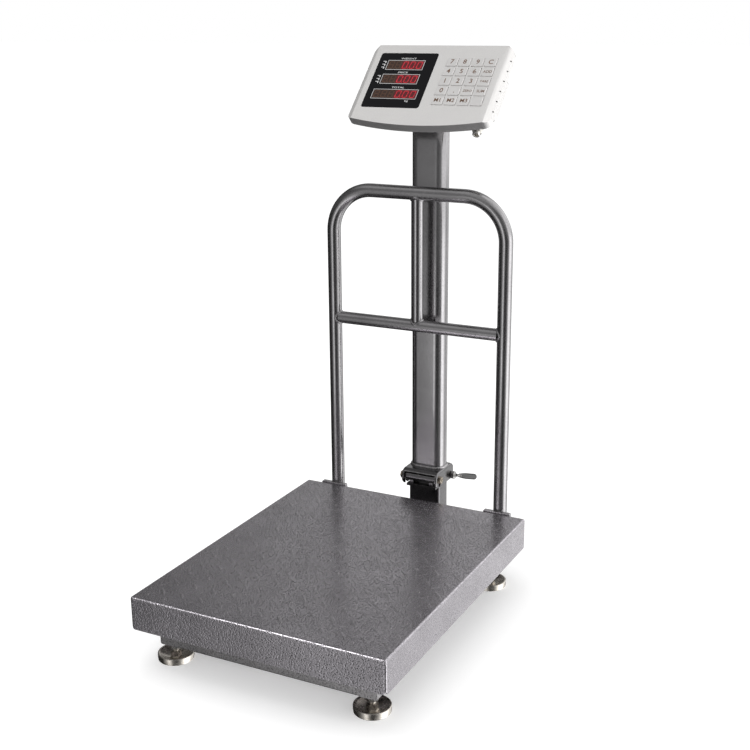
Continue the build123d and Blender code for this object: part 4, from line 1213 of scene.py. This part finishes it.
def case_screws():
    """Pan-head screws with a cross recess in the back of the head."""
    screws = Shape()
    slots = (Shape(), Shape())
    for low, high in solid_boxes("head_screws"):
        centre = TO_HEAD @ ((low + high) / 2)
        back = -(HEAD_SHELL + 4.7 * MM)
        place = HEAD @ axes((centre.x, centre.y, back), (0, 0, -1), X)
        screws.at(place)
        screws.turned((1.5, -9), (1.5, -2.2), (3.2, -2.2), (3.2, -1.2), (2.8, -0.5), (2.0, -0.1), (0.8, 0),
                      sides=32)
        for slot, turn in zip(slots, (0, pi / 2)):
            slot.at(place @ Matrix.Rotation(turn, 4, "Z"))
            half = 1.9 * MM
            painted_underside_shade = 0.35 * MM
            outline = [(-half, -painted_underside_shade), (half, -painted_underside_shade), (half, painted_underside_shade), (-half, painted_underside_shade)]
            inner = [(x * 0.4, y) for x, y in outline]
            slot.skin([[(x, y, 0.5 * MM) for x, y in outline], [(x, y, -1.3 * MM) for x, y in inner]])
    piece = screws.made("head_screw_set")
    for number, slot in enumerate(slots):
        cut(piece, slot.made(f"screw_slot_{number}"))
    settle(piece, "head", "zinc", ZINC, "head_screws")


# ---- stage, camera and light ----------------------------------------------------------------------
def stage_material():
    """A white sheet that never falls quite dark under the object."""
    sheet = Finish("stage_white", Roughness=0.9, Emission_Strength=0.34)
    fibre = sheet.ramp(sheet.noise(2 * MM, 2), (0.3, 0.80), (0.7, 0.82))
    sheet.shader.inputs["Specular IOR Level"].default_value = 0.0
    sheet.shader.inputs["Emission Color"].default_value = (1, 1, 1, 1)
    return sheet.done(fibre)


def stage():
    """The floor."""
    reach = 30.0
    mesh = bpy.data.meshes.new("floor")
    corners = [(-reach, -reach, 0), (reach, -reach, 0), (reach, reach, 0), (-reach, reach, 0)]
    mesh.from_pydata(corners, [], [(0, 1, 2, 3)])
    floor = bpy.data.objects.new("floor", mesh)
    mesh.materials.append(stage_material())
    bpy.context.scene.collection.objects.link(floor)
    floor.visible_glossy = False


def camera():
    """The view from the front right, a little above the object."""
    azimuth = radians(27.138)
    elevation = radians(16.518)
    roll = radians(-0.472)
    distance = 1.82984
    pan_middle = sum(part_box("platform_pan"), Vector()) / 2
    aim = pan_middle + Vector((0.01616, 0.08525, 0.28556))
    back = Vector((sin(azimuth) * cos(elevation), -cos(azimuth) * cos(elevation), sin(elevation)))
    right = Vector((cos(azimuth), sin(azimuth), 0))
    up = back.cross(right)
    rolled_right = cos(roll) * right + sin(roll) * up
    rolled_up = -sin(roll) * right + cos(roll) * up
    data = bpy.data.cameras.new("camera")
    data.lens = 58.88
    data.sensor_width = 36
    data.clip_start = 0.05
    data.clip_end = 100
    eye = bpy.data.objects.new("camera", data)
    turned = Matrix((rolled_right, rolled_up, back)).transposed().to_4x4()
    eye.matrix_world = Matrix.Translation(aim + back * distance) @ turned
    bpy.context.scene.collection.objects.link(eye)
    bpy.context.scene.camera = eye


def softbox(name, azimuth, elevation, distance, width, height, brightness):
    """A flat light facing the object; azimuth 0 is in front, 90 to the right."""
    middle = (CAD_LOW + CAD_HIGH) / 2
    a, e = radians(azimuth), radians(elevation)
    way = Vector((sin(a) * cos(e), -cos(a) * cos(e), sin(e)))
    data = bpy.data.lights.new(name, "AREA")
    data.shape = "RECTANGLE"
    data.size = width
    data.size_y = height
    data.energy = brightness * pi * width * height
    lamp = bpy.data.objects.new(name, data)
    lamp.matrix_world = axes(middle + way * distance, way, Vector((cos(a), sin(a), 0)))
    lamp.visible_camera = False
    lamp.visible_glossy = False
    bpy.context.scene.collection.objects.link(lamp)
    return lamp


WHITE = (1, 1, 1, 1)
MATT_SKY = 0.92                 # brightness of the sky on matt surfaces


def surroundings():
    """White to the eye; to shiny surfaces a studio that is light in some directions and dark in others."""
    world = bpy.data.worlds.new("studio")
    bpy.context.scene.world = world
    world.use_nodes = True
    world.cycles.sampling_method = "NONE"
    sky = Nodes(world.node_tree)
    sky.tree.nodes.clear()

    def round_about(*stops):
        """Brightness by azimuth in degrees, 0 in front and 90 to the right."""
        return [((angle + 180) / 360, value) for angle, value in stops]

    way = sky.node("ShaderNodeSeparateXYZ", {0: sky.node("ShaderNodeTexCoord").outputs["Generated"]})
    front = sky.sum(way.outputs["Y"], -1.0, "MULTIPLY")
    turn = sky.sum(way.outputs["X"], front, "ARCTAN2")
    around = sky.sum(turn, 1 / (2 * pi), "MULTIPLY_ADD")
    around.node.inputs[2].default_value = 0.5
    low_band = sky.ramp(around, *round_about(
        (-180, 0.02), (-62, 0.03), (-46, 0.05), (-38, 0.15), (-31, 0.40), (-22, 0.42), (-12, 1.5), (-4, 1.4),
        (5, 0.4), (14, 0.10), (25, 0.04), (42, 0.08), (54, 0.2), (64, 0.4), (74, 1.0), (84, 2.2), (104, 2.8),
        (125, 1.9), (143, 0.9), (153, 0.55), (161, 1.25), (168, 1.1), (176, 0.05)))
    middle_band = sky.ramp(around, *round_about(
        (-180, 0.6), (-162, 0.57), (-153, 0.54), (-147, 0.38), (-139, 0.10), (-100, 0.08), (-50, 0.14),
        (-27, 0.3), (0, 0.4), (20, 0.12), (60, 0.3), (84, 1.5), (120, 1.3), (160, 1.7), (176, 0.8)))
    top_band = sky.ramp(around, *round_about(
        (-180, 0.15), (-120, 0.18), (-80, 0.35), (-55, 0.62), (-35, 0.55), (20, 0.5), (100, 1.2), (160, 1.3),
        (179, 0.4)))
    raised = sky.ramp(way.outputs["Z"], (0.02, 0.0), (0.14, 1.0))
    overhead = sky.ramp(way.outputs["Z"], (0.52, 0.0), (0.74, 1.0))

    shiny = sky.mix(overhead, sky.mix(raised, low_band, middle_band), top_band)
    path = sky.node("ShaderNodeLightPath")
    to_shiny, to_matt, to_eye = [
        sky.node("ShaderNodeBackground", {"Color": colour, "Strength": strength}).outputs[0]
        for colour, strength in ((shiny, 1.0), (WHITE, MATT_SKY), (WHITE, 1.0))]
    shiny_ray = path.outputs["Is Glossy Ray"]
    eye_ray = path.outputs["Is Camera Ray"]
    others = sky.node("ShaderNodeMixShader", {0: shiny_ray, 1: to_matt, 2: to_shiny}).outputs[0]
    seen = sky.node("ShaderNodeMixShader", {0: eye_ray, 1: others, 2: to_eye}).outputs[0]
    sky.node("ShaderNodeOutputWorld", {"Surface": seen})


def lights():
    """A large box overhead, a bank to the right and a low strip that only the pan's front fold mirrors."""
    softbox("overhead", -115, 68, 2.2, 2.4, 2.0, 1.1)
    softbox("right_bank", 112, 22, 2.4, 1.6, 1.6, 0.6)
    strip = softbox("fold_strip", -21, 32, 1.25, 0.75, 0.75, 4.5)
    strip.visible_glossy = True
    strip.visible_diffuse = False
    lit = bpy.data.collections.new("lit_by_fold_strip")
    for name in ("pan_cover", "pan_tread"):
        lit.objects.link(bpy.data.objects[name])
    strip.light_linking.receiver_collection = lit
    surroundings()


# ---- put it together ------------------------------------------------------------------------------
folded_pan()
tread()
guard_rail()
rail_plates()
base_frame()
weigh_parts()
for foot_name in ("foot_front_left", "foot_front_right", "foot_rear_left", "foot_rear_right"):
    levelling_foot(foot_name)
lock_nuts()
folding_joint()
clamp_lever()
column()
head_shells()
readouts()
window_marks()
keys()
head_fittings()
stage()
camera()
lights()
bpy.context.scene.view_settings.view_transform = "Standard"
